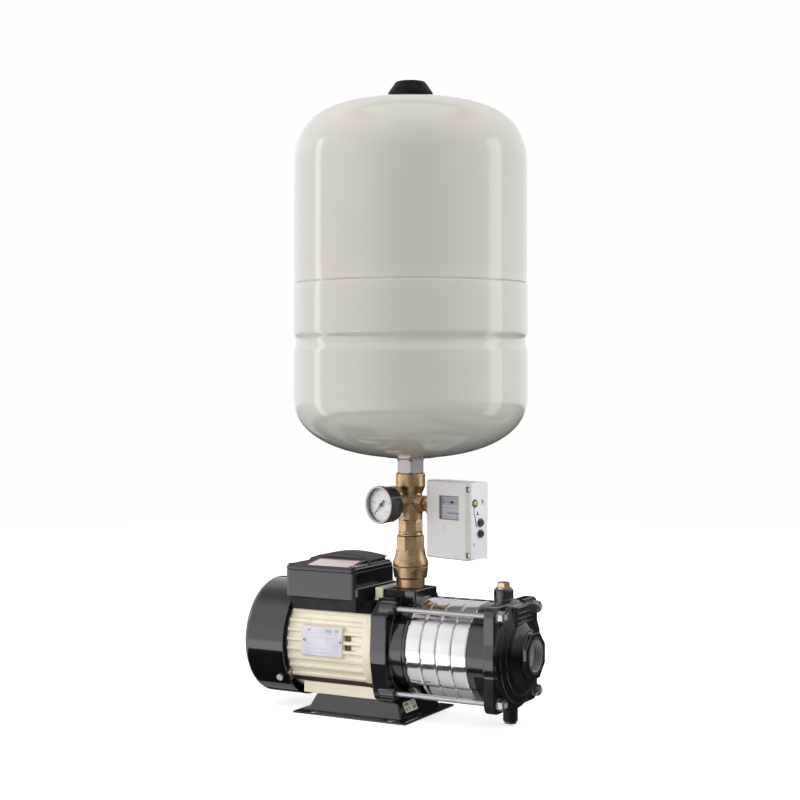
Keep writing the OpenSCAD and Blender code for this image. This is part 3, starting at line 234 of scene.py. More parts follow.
M = {
    "black_enamel": enamel("black_enamel", (0.004, 0.0038, 0.0055), (0.007, 0.0066, 0.009), 0.1, 1.0, 0.00004, 120, 0.0006, (0.03, 0.03, 0.035), spec=0.5),
    "black_cast": enamel("black_cast", (0.004, 0.0038, 0.0055), (0.0075, 0.007, 0.0095), 0.14, 1.0, 0.0001, 160, None, soft=0.0004, spec=0.5),
    "cream_enamel": enamel("cream_enamel", (0.78, 0.715, 0.56), (0.83, 0.765, 0.62), 0.3, 0.25, 0.00012, 260, 0.0008, (0.78, 0.72, 0.57)),
    "tank_enamel": enamel("tank_enamel", (0.66, 0.62, 0.565), (0.69, 0.65, 0.6), 0.14, 0.6, 0.00005, 120, None, patch=5),
    "stainless": metal("stainless", (0.72, 0.715, 0.725), (0.78, 0.775, 0.785), 0.1, (60, 2, 2), 0.000003, 500),
    "zinc_steel": metal("zinc_steel", (0.42, 0.42, 0.44), (0.52, 0.52, 0.54), 0.3, (20, 20, 20), 0.000004, 300),
    "bearing_steel": metal("bearing_steel", (0.6, 0.61, 0.63), (0.68, 0.69, 0.71), 0.1, (30, 30, 30), 0.000004),
    "core_steel": metal("core_steel", (0.28, 0.28, 0.3), (0.4, 0.4, 0.42), 0.42, (400, 2, 2), 0.00004),
    "copper": metal("copper", (0.55, 0.22, 0.1), (0.72, 0.33, 0.18), 0.3, (5, 120, 120), 0.0001),
    "brass": metal("brass", (0.44, 0.3, 0.16), (0.54, 0.38, 0.22), 0.34, (25, 25, 25), 0.000012, 300, 0.0006, (0.42, 0.27, 0.15)),
    "brass_turned": metal("brass_turned", (0.5, 0.37, 0.2), (0.62, 0.48, 0.28), 0.24, (20, 20, 20), 0.000006, 300, 0.0004),
    "aluminium": metal("aluminium", (0.52, 0.53, 0.55), (0.62, 0.63, 0.65), 0.38, (70, 70, 70), 0.00005, 400),
    "nameplate_metal": metal("nameplate_metal", (0.47, 0.47, 0.5), (0.57, 0.57, 0.6), 0.34, (4, 4, 500), 0.000008, 700, 0.0003),
    "cap_black": plastic("cap_black", (0.004, 0.0037, 0.0042), (0.006, 0.0055, 0.0062), 0.5, 0.00003, 300, 0.0, spec=0.16),
    "black_plastic": plastic("black_plastic", (0.005, 0.0047, 0.0062), (0.008, 0.0075, 0.0095), 0.17, 0.00003, 300, 0.8, spec=0.5),
    "matt_plastic": plastic("matt_plastic", (0.02, 0.02, 0.022), (0.035, 0.035, 0.038), 0.48, 0.00004, 700),
    "bakelite": plastic("bakelite", (0.09, 0.035, 0.02), (0.15, 0.06, 0.03), 0.3),
    "pale_plastic": plastic("pale_plastic", (0.62, 0.62, 0.6), (0.7, 0.7, 0.68), 0.3),
    "grey_plastic": plastic("grey_plastic", (0.22, 0.22, 0.23), (0.28, 0.28, 0.29), 0.42),
    "ceramic": plastic("ceramic", (0.8, 0.78, 0.73), (0.85, 0.83, 0.79), 0.1),
    "rubber": plastic("rubber", (0.014, 0.014, 0.015), (0.024, 0.024, 0.025), 0.65, 0.00006, 500),
    "dial_white": plastic("dial_white", (0.8, 0.8, 0.79), (0.84, 0.84, 0.83), 0.4, 0.000005),
    "needle_black": plastic("needle_black", (0.01, 0.01, 0.01), (0.016, 0.016, 0.016), 0.35, 0.000005),
    "switch_white": enamel("switch_white", (0.78, 0.795, 0.82), (0.82, 0.835, 0.86), 0.3, 0.2, 0.00005, 420, 0.0005, (0.8, 0.8, 0.8)),
    "switch_grey": enamel("switch_grey", (0.64, 0.625, 0.6), (0.68, 0.665, 0.64), 0.32, 0.2, 0.00006, 420, 0.0005, (0.7, 0.7, 0.68)),
    "scale_grey": plastic("scale_grey", (0.4, 0.385, 0.43), (0.46, 0.445, 0.49), 0.4),
    "pointer_red": plastic("pointer_red", (0.16, 0.05, 0.045), (0.21, 0.07, 0.06), 0.45),
    "nickel": metal("nickel", (0.33, 0.318, 0.305), (0.41, 0.395, 0.38), 0.26, (20, 20, 20), 0.000004, 300),
    "ink": plastic("ink", (0.02, 0.02, 0.022), (0.035, 0.035, 0.04), 0.5, 0.000002, soft=0.0001),
    "label": plastic("label", (0.74, 0.69, 0.68), (0.8, 0.75, 0.74), 0.38, 0.00001, soft=0.0002),
    # painted shade and painted highlight: the next seven finishes are darker or paler copies that stand in for shade,
    # and for the highlight on rod ends, nuts, screws and clips
    "shade_plastic": plastic("shade_plastic", (0.004, 0.0035, 0.0045), (0.007, 0.006, 0.008), 0.85, 0.00005, 500, spec=0.12),
    "skirt_shade": plastic("skirt_shade", (0.012, 0.011, 0.013), (0.018, 0.016, 0.019), 0.5, 0.00005, 500, spec=0.3),
    "painted_shade_cast": plastic("painted_shade_cast", (0.004, 0.0038, 0.0055), (0.0075, 0.007, 0.0095), 0.42, 0.0001, 160, soft=0.0004, spec=0.2),
    "rod_painted_highlight": plastic("rod_painted_highlight", (0.26, 0.26, 0.27), (0.36, 0.36, 0.37), 0.35, 0.000004),
    "pale_with_painted_highlight": plastic("pale_with_painted_highlight", (0.6, 0.6, 0.62), (0.74, 0.74, 0.76), 0.3, 0.000003),
    "groove_shade": plastic("groove_shade", (0.045, 0.036, 0.032), (0.07, 0.057, 0.05), 0.7, 0.00003, 400, spec=0.15),
    "pocket_shade": plastic("pocket_shade", (0.14, 0.12, 0.055), (0.2, 0.175, 0.09), 0.7, 0.00003, 400, spec=0.15),
    "olive_print": plastic("olive_print", (0.24, 0.27, 0.06), (0.34, 0.37, 0.12), 0.5, 0.000002, soft=0.0001),
    "plate_etch": plastic("plate_etch", (0.34, 0.34, 0.36), (0.42, 0.42, 0.44), 0.5, 0.000002, soft=0.0001),
    "machined_pale": metal("machined_pale", (0.62, 0.61, 0.62), (0.72, 0.71, 0.72), 0.55, (6, 6, 300), 0.00001, 400),
    "rim_grey": plastic("rim_grey", (0.5, 0.49, 0.5), (0.58, 0.57, 0.58), 0.22, 0.000004),
    "label_red": plastic("label_red", (0.42, 0.07, 0.09), (0.52, 0.12, 0.14), 0.4, 0.00001, soft=0.0001),
    "grey_print": plastic("grey_print", (0.16, 0.16, 0.18), (0.22, 0.22, 0.25), 0.5, 0.000002, soft=0.0001),
    "machined_iron": metal("machined_iron", (0.3, 0.3, 0.32), (0.42, 0.42, 0.44), 0.3, (6, 6, 300), 0.00001, 400),
    "seal_brass": metal("seal_brass", (0.5, 0.47, 0.16), (0.62, 0.58, 0.24), 0.35, (20, 20, 20), 0.000006, 300),
    "dark_rivet": metal("dark_rivet", (0.1, 0.1, 0.11), (0.18, 0.18, 0.19), 0.3, (20, 20, 20), 0.000004, 300),
    "sticker": plastic("sticker", (0.72, 0.76, 0.7), (0.8, 0.82, 0.78), 0.4, 0.00001, soft=0.0002),
}


def glass():
    n = Nodes("lens_glass").set(base=(0.98, 0.99, 1.0), rough=0.02, ior=1.5, trans=1.0)
    n.to(n.range(n.noise(40, 3), 0.3, 0.7, 0.01, 0.035), "Roughness")
    # window glass: light passes straight through, so the dial behind stays bright
    clear = n.t.nodes.new("ShaderNodeBsdfTransparent")
    gloss = n.t.nodes.new("ShaderNodeBsdfGlossy")
    gloss.inputs["Roughness"].default_value = 0.03
    edge = n.t.nodes.new("ShaderNodeLayerWeight")
    edge.inputs["Blend"].default_value = 0.5
    mix = n.t.nodes.new("ShaderNodeMixShader")
    n.link(n.math("ADD", n.math("MULTIPLY", n.math("POWER", edge.outputs["Facing"], 4.0), 0.6), 0.03), mix.inputs[0])
    n.link(clear.outputs[0], mix.inputs[1])
    n.link(gloss.outputs[0], mix.inputs[2])
    n.link(mix.outputs[0], n.out.inputs[0])
    return n.mat


M["lens_glass"] = glass()


# ---------------------------------------------------------------- mesh helpers
def fillet(points, seg=5):
    """Corners given as (x, y) or (x, y, radius); returns the outline with its corners rounded."""
    pts = [(p[0], p[1], p[2] if len(p) > 2 else 0) for p in points]
    out = []
    for i, (x, y, r) in enumerate(pts):
        a, b = Vector(pts[i - 1][:2]), Vector(pts[(i + 1) % len(pts)][:2])
        p = Vector((x, y))
        if r <= 0:
            out.append((x, y))
            continue
        u, v = (a - p).normalized(), (b - p).normalized()
        half = math.acos(max(-1, min(1, u.dot(v)))) / 2
        if half > math.radians(88.5) or half < 0.01:
            out.append((x, y))
            continue
        d = min(r / math.tan(half), (a - p).length * 0.49, (b - p).length * 0.49)
        rr = d * math.tan(half)
        c = p + (u + v).normalized() * (rr / math.sin(half))
        s, e = p + u * d - c, p + v * d - c
        turn = math.atan2(s.x * e.y - s.y * e.x, s.dot(e))
        for k in range(seg + 1):
            q = Matrix.Rotation(turn * k / seg, 2) @ s
            out.append((c.x + q.x, c.y + q.y))
    return out


def lathe(bm, profile, n=128, m=ONE, closed=True):
    """profile is [(radius, z)], turned about local z."""
    rings = []
    for r, z in profile:
        if r < 1e-6:
            rings.append([bm.verts.new(m @ Vector((0, 0, z)) * MM)])
        else:
            rings.append([bm.verts.new(m @ Vector((r * math.cos(2 * math.pi * k / n), r * math.sin(2 * math.pi * k / n), z)) * MM) for k in range(n)])
    pairs = list(zip(rings, rings[1:]))
    if closed:
        pairs.append((rings[-1], rings[0]))
    for a, b in pairs:
        for k in range(n):
            j = (k + 1) % n
            if len(a) == 1 and len(b) == 1:
                break
            if len(a) == 1:
                bm.faces.new((a[0], b[j], b[k]))
            elif len(b) == 1:
                bm.faces.new((a[k], a[j], b[0]))
            else:
                bm.faces.new((a[k], a[j], b[j], b[k]))
    return bm


def prism(bm, outline, z0, z1, m=ONE, bevel=0.0, seg=2):
    """An outline in local x and y, extruded from z0 to z1, with its rim edges rounded."""
    if bevel <= 0:
        rings = [[bm.verts.new(m @ Vector((x, y, z)) * MM) for x, y in outline] for z in (z0, z1)]
    else:
        rings = []
        n = len(outline)
        area = sum(outline[i - 1][0] * outline[i][1] - outline[i][0] * outline[i - 1][1] for i in range(n))
        sign = 1 if area > 0 else -1

        def inset(d):
            res = []
            for i in range(n):
                a, p, b = Vector(outline[i - 1]), Vector(outline[i]), Vector(outline[(i + 1) % n])
                u, v = (p - a).normalized(), (b - p).normalized()
                nu, nv = Vector((-u.y, u.x)) * sign, Vector((-v.y, v.x)) * sign
                k = 1 + nu.dot(nv)
                res.append(p + (nu + nv) * (d / max(k, 0.3)))
            return res

        steps = [(bevel * (1 - math.sin(math.pi / 2 * k / seg)), bevel * (1 - math.cos(math.pi / 2 * k / seg))) for k in range(seg + 1)]
        for d, dz in steps:
            rings.append([bm.verts.new(m @ Vector((p.x, p.y, z0 + dz)) * MM) for p in inset(d)])
        for d, dz in reversed(steps):
            rings.append([bm.verts.new(m @ Vector((p.x, p.y, z1 - dz)) * MM) for p in inset(d)])
    n = len(outline)
    for a, b in zip(rings, rings[1:]):
        for k in range(n):
            j = (k + 1) % n
            bm.faces.new((a[k], a[j], b[j], b[k]))
    bm.faces.new(list(reversed(rings[0])))
    bm.faces.new(rings[-1])
    return bm


def thread(bm, r, pitch, z0, z1, m=ONE, depth=0.6, n=48):
    """A real helical thread: one ridge swept round local z, tapering out at both ends."""
    turns = (z1 - z0) / pitch
    steps = max(8, int(turns * n))
    rows = []
    for i in range(steps + 1):
        t = i / steps
        a = 2 * math.pi * turns * t
        z = z0 + (z1 - z0) * t
        h = depth * min(1, t * turns * 2, (1 - t) * turns * 2)
        row = []
        for dz, k in ((-0.42, 0.0), (-0.08, 1.0), (0.08, 1.0), (0.42, 0.0)):
            rad = r - depth + h * k
            row.append(bm.verts.new(m @ Vector((rad * math.cos(a), rad * math.sin(a), min(z1, max(z0, z + dz * pitch)))) * MM))
        rad = r - depth - 0.3
        row.append(bm.verts.new(m @ Vector((rad * math.cos(a), rad * math.sin(a), z)) * MM))
        rows.append(row)
    for a, b in zip(rows, rows[1:]):
        for k in range(5):
            j = (k + 1) % 5
            bm.faces.new((a[k], b[k], b[j], a[j]))
    bm.faces.new(rows[0])
    bm.faces.new(list(reversed(rows[-1])))
    return bm


def finish_bm(name, bm, mat, body, sharp=32):
    bmesh.ops.recalc_face_normals(bm, faces=bm.faces)
    for f in bm.faces:
        f.smooth = True
    for e in bm.edges:
        if len(e.link_faces) == 2 and e.calc_face_angle(0) > math.radians(sharp):
            e.smooth = False
    me = bpy.data.meshes.new(name)
    bm.to_mesh(me)
    bm.free()
    o = bpy.data.objects.new(name, me)
    SCENE.collection.objects.link(o)
    me.materials.append(M[mat] if isinstance(mat, str) else mat)
    if body:
        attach(o, body)
    return o


def body_of_node(node):
    return NODES[node]["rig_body"]


def cad_bm(node):
    """The node's own surface, welded."""
    bm = bmesh.new()
    bm.from_mesh(NODES[node].data)
    bmesh.ops.remove_doubles(bm, verts=bm.verts, dist=2e-6)
    return bm


def apply(o):
    """The object's mesh with its modifiers applied."""
    dg = bpy.context.evaluated_depsgraph_get()
    me = bpy.data.meshes.new_from_object(o.evaluated_get(dg), depsgraph=dg)
    old = o.data
    o.modifiers.clear()
    o.data = me
    bpy.data.meshes.remove(old)
    return o


def temp(bm, name="temp"):
    bmesh.ops.recalc_face_normals(bm, faces=bm.faces)
    me = bpy.data.meshes.new(name)
    bm.to_mesh(me)
    bm.free()
    o = bpy.data.objects.new(name, me)
    SCENE.collection.objects.link(o)
    return o


def boolean(o, cutters, op="DIFFERENCE"):
    for c in cutters:
        b = o.modifiers.new("cut", "BOOLEAN")
        b.operation = op
        b.solver = "EXACT"
        b.object = c
    apply(o)
    for c in cutters:
        me = c.data
        bpy.data.objects.remove(c)
        bpy.data.meshes.remove(me)
    return o


def cast(node, mat, voxel=0.8, rounds=6, name=None, extra=None):
    """The node as a casting: every edge gets the small fillet that a mould leaves."""
    bm = cad_bm(node)
    if extra:
        extra(bm)
    o = temp(bm, name or node + "_cast")
    r = o.modifiers.new("remesh", "REMESH")
    r.mode = "VOXEL"
    r.voxel_size = voxel * MM
    r.adaptivity = 0
    s = o.modifiers.new("smooth", "SMOOTH")
    s.factor = 0.5
    s.iterations = rounds
    apply(o)
    o.data.polygons.foreach_set("use_smooth", [True] * len(o.data.polygons))
    o.data.materials.clear()
    o.data.materials.append(M[mat])
    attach(o, body_of_node(node))
    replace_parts(o, node)
    return o


# ---------------------------------------------------------------- CAD nodes keep their shape and get their finish
FINISH = {
    "base_plate": "black_enamel", "foot_bolts": "zinc_steel", "stator_housing": "cream_enamel", "stator_core": "core_steel",
    "stator_windings": "copper", "nameplate": "nameplate_metal", "rear_end_shield": "aluminium", "fan_cover": "black_enamel",
    "cover_screws": "zinc_steel", "terminal_box_base": "black_plastic", "terminal_box_lid": "black_plastic", "terminal_block": "bakelite",
    "capacitor": "pale_plastic", "cable_gland": "grey_plastic", "bearing_outer_races": "bearing_steel", "bearing_inner_races": "bearing_steel",
    "bearing_balls": "bearing_steel", "shaft": "stainless", "rotor_core": "core_steel", "cooling_fan": "matt_plastic",
    "impellers": "stainless", "impeller_nut": "zinc_steel", "shaft_seal_ring": "rubber", "shaft_seal_seat": "ceramic",
    "discharge_casing": "black_cast", "stage_shells": "stainless", "diffusers": "stainless", "stage_o_rings": "rubber",
    "suction_casing": "black_cast", "tie_rods": "zinc_steel", "tie_rod_nuts": "zinc_steel", "priming_plug": "brass_turned", "drain_plug": "black_enamel",
    "discharge_nipple": "brass", "check_valve_cap": "brass", "check_valve_body": "brass", "check_poppet": "brass_turned", "poppet_spring": "stainless",
    "five_way_fitting": "brass", "tank_nipple": "nickel", "tank_lower_shell": "tank_enamel", "tank_upper_shell": "tank_enamel",
    "tank_diaphragm": "rubber", "tank_air_valve": "brass_turned", "tank_valve_cap": "black_plastic", "gauge_stem": "brass_turned",
    "gauge_case": "black_enamel", "gauge_bezel": "nickel", "gauge_lens": "lens_glass", "gauge_dial": "dial_white", "gauge_needle": "needle_black",
    "gauge_sector": "brass_turned", "switch_housing": "switch_white", "switch_cover": "switch_grey", "switch_scale_plate": "scale_grey",
    "switch_bellows": "brass", "switch_arm": "zinc_steel", "range_spindle": "matt_plastic", "range_pointer": "pointer_red",
    "differential_spindle": "matt_plastic",
}
for node, name in FINISH.items():
    me = NODES[node].data
    me.materials.clear()
    me.materials.append(M[name])

# ---------------------------------------------------------------- castings and pressings
cast("discharge_casing", "black_cast", 0.85, 6, "discharge_casting")
cast("suction_casing", "black_cast", 0.85, 6, "suction_casting")
cast("stator_housing", "cream_enamel", 0.85, 4, "motor_housing")
cast("base_plate", "black_enamel", 0.7, 8, "pressed_base")
cast("five_way_fitting", "brass", 0.5, 5, "brass_manifold")
# the four screws of the lid are black, those of the fan cover are plated, their pale colour a painted highlight
screws = bpy.data.objects["cover_screws"]
screws.data.materials.append(M["black_plastic"])
for face in screws.data.polygons:
    if (screws.matrix_world @ face.center).z > 0.16 and (screws.matrix_world @ face.center).x > -0.0975:
        face.material_index = 1
screws.data.materials.append(M["pale_with_painted_highlight"])
for face in screws.data.polygons:
    if (screws.matrix_world @ face.center).x < -0.0975 or (screws.matrix_world @ face.center).z < 0.16:
        face.material_index = 2
# painted shade: the groove under the body of the motor and the pockets beside the plate are coloured dark where shade
# falls in them
housing = bpy.data.objects["motor_housing"]
housing.data.materials.append(M["groove_shade"])
housing.data.materials.append(M["pocket_shade"])
for face in housing.data.polygons:
    at, up = housing.matrix_world @ face.center, face.normal.z
    if 0.0362 < at.z < 0.0432 and up < -0.25 and abs(at.y) > 0.034:
        face.material_index = 1
    elif -0.0612 < at.y < -0.05 and -0.0074 < at.x < 0.0098 and (0.0826 < at.z < 0.0902 or 0.0942 < at.z < 0.1017) and (at.y > -0.0596 or abs(up) > 0.5):
        face.material_index = 2
# painted shade: the underside of the suction end is duller than its face, a shaded copy of its black; painted
# highlight: the ends of the rods and nuts are pale
casting = bpy.data.objects["suction_casting"]
casting.data.materials.append(M["painted_shade_cast"])
for face in casting.data.polygons:
    at = casting.matrix_world @ face.center
    if at.x > 0.168 and (at.z < 0.066 or (at.x > 0.2068 and at.z < 0.0835)):
        face.material_index = 1
# painted shade: the top front of the discharge casting, under the terminal box, takes the same duller shaded copy of
# its black
casting = bpy.data.objects["discharge_casting"]
casting.data.materials.append(M["painted_shade_cast"])
for face in casting.data.polygons:
    at = casting.matrix_world @ face.center
    if at.z > 0.1455 and face.normal.y < -0.4 and at.x < 0.06:
        face.material_index = 1
for name in ("tie_rods", "tie_rod_nuts"):
    part = bpy.data.objects[name]
    part.data.materials.append(M["rod_painted_highlight"])
    for face in part.data.polygons:
        if (part.matrix_world @ face.center).x > 0.2052 and (name == "tie_rods" or face.normal.x > 0.8):
            face.material_index = 1
plug = bpy.data.objects["priming_plug"]
plug.data.materials.append(M["zinc_steel"])
for face in plug.data.polygons:
    if (plug.matrix_world @ face.center).z < 0.1662:
        face.material_index = 1
cast("terminal_box_base", "black_plastic", 0.65, 4, "terminal_box")
cast("terminal_box_lid", "black_plastic", 0.65, 4, "terminal_lid")


# ---------------------------------------------------------------- tank
def dome(a, h, p, n):
    out = []
    for i in range(n + 1):
        t = math.radians(90 * i / n)
        out.append((a * math.sin(t) ** (2 / p), h * math.cos(t) ** (2 / p)))
    return out


TANK_R, SEAM_Z, TOP_C, BOT_C = 146.2, 536.0, 680.0, 396.0
up = [(r, TOP_C + h) for r, h in dome(TANK_R - 0.8, 92, 2.6, 64)]
up = [(r, z) for r, z in up if r > 5.0]
up = [(5.0, up[0][1])] + up
up += [(TANK_R - 0.8, z) for z in range(660, 540, -15)]
up += [(TANK_R - 0.8, SEAM_Z + 3.4), (TANK_R - 0.55, SEAM_Z + 2.2), (TANK_R - 0.75, SEAM_Z + 1.0), (TANK_R - 1.3, SEAM_Z + 0.3), (TANK_R - 2.2, SEAM_Z - 6)]
finish_bm("tank_top_shell", lathe(bmesh.new(), up, 256, PORT, closed=False), "tank_enamel", "frame", sharp=80)
low = [(TANK_R - 2.2, SEAM_Z - 0.6), (TANK_R - 0.9, SEAM_Z - 0.3), (TANK_R - 0.25, SEAM_Z - 1.0), (TANK_R, SEAM_Z - 2.2), (TANK_R, SEAM_Z - 20)]
low += [(TANK_R, 500), (TANK_R, 480)]
groove = [(0, 476), (0.25, 473.6), (0.9, 471.8), (1.8, 470), (2.5, 468.2), (2.85, 466.2), (2.9, 464.5), (2.8, 462.7), (2.4, 460.6), (1.7, 458.4), (1.0, 456.4), (0.4, 454.4), (0.08, 452.4), (0, 450)]
low += [(TANK_R - d, z) for d, z in groove]
low += [(TANK_R, 435), (TANK_R, 415)]
low += [(r, BOT_C - h) for r, h in reversed(dome(TANK_R, 76.5, 2.25, 64)) if r > 31]
low += [(30.6, 319.9), (30.0, 320.2), (29.2, 320.3), (20, 319.4), (17.8, 318.5), (17.2, 317.8), (13.3, 317.7)]
finish_bm("tank_bottom_shell", lathe(bmesh.new(), low, 256, PORT, closed=False), "tank_enamel", "frame", sharp=80)
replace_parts(bpy.data.objects["tank_top_shell"], "tank_upper_shell")
# the crown of the dome is a little flatter than a true arc, and the foot of the cap reaches down to it
shell = bpy.data.objects["tank_top_shell"]
axis = shell.matrix_world.inverted() @ Vector((0.052, 0, 0.7))
top_z = max(v.co.z for v in shell.data.vertices)
for v in shell.data.vertices:
    if v.co.z > top_z - 0.06:
        k = min(1.0, max(0.0, (0.138 - math.hypot(v.co.x - axis.x, v.co.y - axis.y)) / 0.088))
        v.co.z -= 0.005 * k * k * (3 - 2 * k)
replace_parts(bpy.data.objects["tank_bottom_shell"], "tank_lower_shell")

# cap of the air valve
b = 771.8
prof = fillet([(0, b + 0.5), (24.8, b + 0.5), (25.2, b - 4.7), (28, b - 4.7, 0.4), (28, b + 2.6, 0.5), (27.2, b + 4.4, 1.0), (20.2, b + 14.6, 1.6), (18.4, b + 16.8, 1.8), (15, b + 17.2, 4), (0, b + 17.2)], 6)
cap = finish_bm("air_cap", lathe(bmesh.new(), prof, 128, PORT, closed=False), "cap_black", "valve_cap")
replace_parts(cap, "tank_valve_cap")

# ---------------------------------------------------------------- pump stages
STAGE_X0, PITCH, STAGE_R = 77.1, 20.575, 62.0
bm = bmesh.new()
for i in range(4):
    x = STAGE_X0 + i * PITCH
    e = x + PITCH
    lathe(bm, fillet([(59.9, x + 0.06), (60.7, x + 0.06, 0.2), (61.6, x + 0.7, 0.8), (STAGE_R - 0.05, x + 2.6, 3), (STAGE_R, x + 6), (STAGE_R, e - 6), (STAGE_R - 0.05, e - 2.6, 3), (61.6, e - 0.7, 0.8), (60.7, e - 0.06, 0.2), (59.9, e - 0.06)], 5), 192, SHAFT)
shells = finish_bm("stage_rings", bm, "stainless", "frame", sharp=60)
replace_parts(shells, "stage_shells")

# ---------------------------------------------------------------- gauge
bm = bmesh.new()
lathe(bm, fillet([(22.6, 52.9), (23.1, 53.0, 0.3), (23.4, 52.4, 0.3), (23.4, 50.3, 0.3), (23.15, 50.0), (23.4, 49.7, 0.3), (23.4, 48.6, 0.3), (22.5, 48.5), (22.5, 52.2)], 4), 128, GAUGE)
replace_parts(finish_bm("gauge_ring", bm, "black_enamel", "frame"), "gauge_bezel")
bm = bmesh.new()
lathe(bm, fillet([(20.6, 52.2), (20.6, 53.2, 0.3), (21.2, 53.9, 0.4), (22.5, 54.0, 0.6), (23.15, 53.5, 0.3), (23.1, 53.02), (22.55, 52.2)], 5), 128, GAUGE)
finish_bm("gauge_rim", bm, "rim_grey", "frame")
# painted light: a light grey ring lines the inner wall behind the dial's rim, where that wall lies in shade
bm = bmesh.new()
lathe(bm, fillet([(21.1, 47.2), (22.0, 50.3, 0.2), (22.3, 50.3, 0.1), (22.3, 47.2)], 3), 128, GAUGE)
finish_bm("gauge_wall_painted_light", bm, "rim_grey", "frame")

# dial marks: a plain scale of 270 degrees
bm = bmesh.new()


def mark(a, r0, r1, w, z=47.0, h=0.06):
    m = GAUGE @ Matrix.Rotation(a, 4, "Z")
    prism(bm, [(r0, -w / 2), (r1, -w / 2), (r1, w / 2), (r0, w / 2)], z, z + h, m)


for k in range(51):
    a = math.radians(225 - 270 * k / 50)
    if k % 10 == 0:
        mark(a, 15.4, 19.2, 0.75)
    elif k % 5 == 0:
        mark(a, 16.6, 19.2, 0.5)
    else:
        mark(a, 17.6, 19.2, 0.28)
for k in range(120):
    a = math.radians(225 - 270 * (k + 0.5) / 120)
    mark(a, 19.2, 19.55, 0.83)
finish_bm("dial_marks", bm, "ink", "frame")


def words(name, text, size, m, mat, body="frame", depth=0.03, align="CENTER"):
    c = bpy.data.curves.new(name, "FONT")
    c.body = text
    c.size = size
    c.align_x = align
    c.align_y = "CENTER"
    c.extrude = depth
    o = bpy.data.objects.new(name, c)
    SCENE.collection.objects.link(o)
    dg = bpy.context.evaluated_depsgraph_get()
    me = bpy.data.meshes.new_from_object(o.evaluated_get(dg), depsgraph=dg)
    bpy.data.objects.remove(o)
    me.transform(Matrix.Scale(MM, 4) @ m)
    me.materials.clear()
    me.materials.append(M[mat])
    p = bpy.data.objects.new(name, me)
    SCENE.collection.objects.link(p)
    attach(p, body)
    return p


for k in range(6):
    a = math.radians(225 - 54 * k)
    words(f"dial_number_{2 * k}", str(2 * k), 3.6, GAUGE @ Matrix.Translation((12.4 * math.cos(a), 12.4 * math.sin(a), 47.04)), "ink")

# ---------------------------------------------------------------- nameplate ruling, without lettering
bm = bmesh.new()
PLATE = Matrix.Translation((0, -66.6, 0)) @ Matrix.Rotation(math.radians(90), 4, "X")


def bar(x0, x1, z0, z1, t=0.05, m=PLATE):
    prism(bm, [(x0, z0), (x1, z0), (x1, z1), (x0, z1)], 0, t, m)


for z in (78, 83, 88, 97, 102.4):
    bar(-58.5, -14.5, z, z + 0.25)
for x, z0, z1 in ((-58.5, 78, 102.4), (-14.75, 78, 102.65), (-46, 78, 88), (-30, 78, 97), (-22, 83, 88)):
    bar(x, x + 0.25, z0, z1)
for x0, x1, z0, z1 in ((-31.8, -23, 104.2, 107.2), (-18.4, -12.6, 104.4, 107.8), (-57.4, -53.6, 104.6, 107.2)):
    bar(x0, x1, z0, z1)
finish_bm("nameplate_ruling", bm, "plate_etch", "frame")

# painted shade: the skirt of the terminal box beyond its end, and the band below its front, take darker, duller copies
# of the black plastic
box = bpy.data.objects["terminal_box"]
box.data.materials.append(M["shade_plastic"])
box.data.materials.append(M["skirt_shade"])
for face in box.data.polygons:
    at = box.matrix_world @ face.center
    if (at.x > 0.0066 and at.z < 0.162) or (at.x > 0.0035 and at.z < 0.1486):
        face.material_index = 1
    elif at.z < 0.1432:
        face.material_index = 2
# the crown of the lid has a duller grain
lid = bpy.data.objects["terminal_lid"]
lid.data.materials.append(M["skirt_shade"])
for face in lid.data.polygons:
    if face.normal.z > 0.75 and (lid.matrix_world @ face.center).z > 0.1825:
        face.material_index = 1

# rivets of the nameplate
bm = bmesh.new()
for x in (-62.6, -10.4):
    lathe(bm, [(0, 1.75), (0.9, 1.68), (1.7, 1.4), (2.4, 0.9), (2.7, 0.3), (2.7, 0.05), (0, 0.05)], 32, Matrix.Translation((x, -65.8, 93)) @ Matrix.Rotation(math.radians(90), 4, "X"), closed=False)
finish_bm("nameplate_rivets", bm, "dark_rivet", "frame")

# painted shadow: the shadow gap between the body of the motor and its feet is lined with a dark strip
bm = bmesh.new()
for sgn in (-1, 1):
    prism(bm, fillet([(-77.5, 36.55), (-77.5, 41.6, 0.4), (30.5, 41.6, 0.4), (30.5, 36.55)], 3), 0, 6.5, Matrix(((1, 0, 0, 0), (0, 0, 1, -41.5 if sgn < 0 else 35.0), (0, 1, 0, 0), (0, 0, 0, 1))), 0.3, 2)
finish_bm("foot_shadow_strips", bm, "rubber", "frame")

# ---------------------------------------------------------------- blank label in the recess of the terminal box lid
rise = math.atan2(188.4 - 182.8, 37)
LABEL = Matrix.Translation((-42, -29.5, 185.6)) @ Matrix.Rotation(rise, 4, "X")
bm = bmesh.new()
prism(bm, fillet([(-30.6, -17.2, 1.6), (30.6, -17.2, 1.6), (30.6, 17.2, 1.6), (-30.6, 17.2, 1.6)], 5), -0.1, 0.3, LABEL, 0.08, 2)
finish_bm("lid_label", bm, "label", "frame")
bm = bmesh.new()
for x0, x1, y0, y1 in ((-30, -27.6, -16.6, 16.6), (-27.6, 30, 13.4, 16.6), (-24, -4, 7.6, 8.3), (-1, 26, 7.6, 8.3), (-24, 26, 2.6, 3.0), (-24, 26, -2.2, -1.8), (-24, 26, -7, -6.6), (-24, 26, -11.8, -11.4)):
    prism(bm, [(x0, y0), (x1, y0), (x1, y1), (x0, y1)], 0.3, 0.34, LABEL)
finish_bm("lid_label_bands", bm, "label_red", "frame")
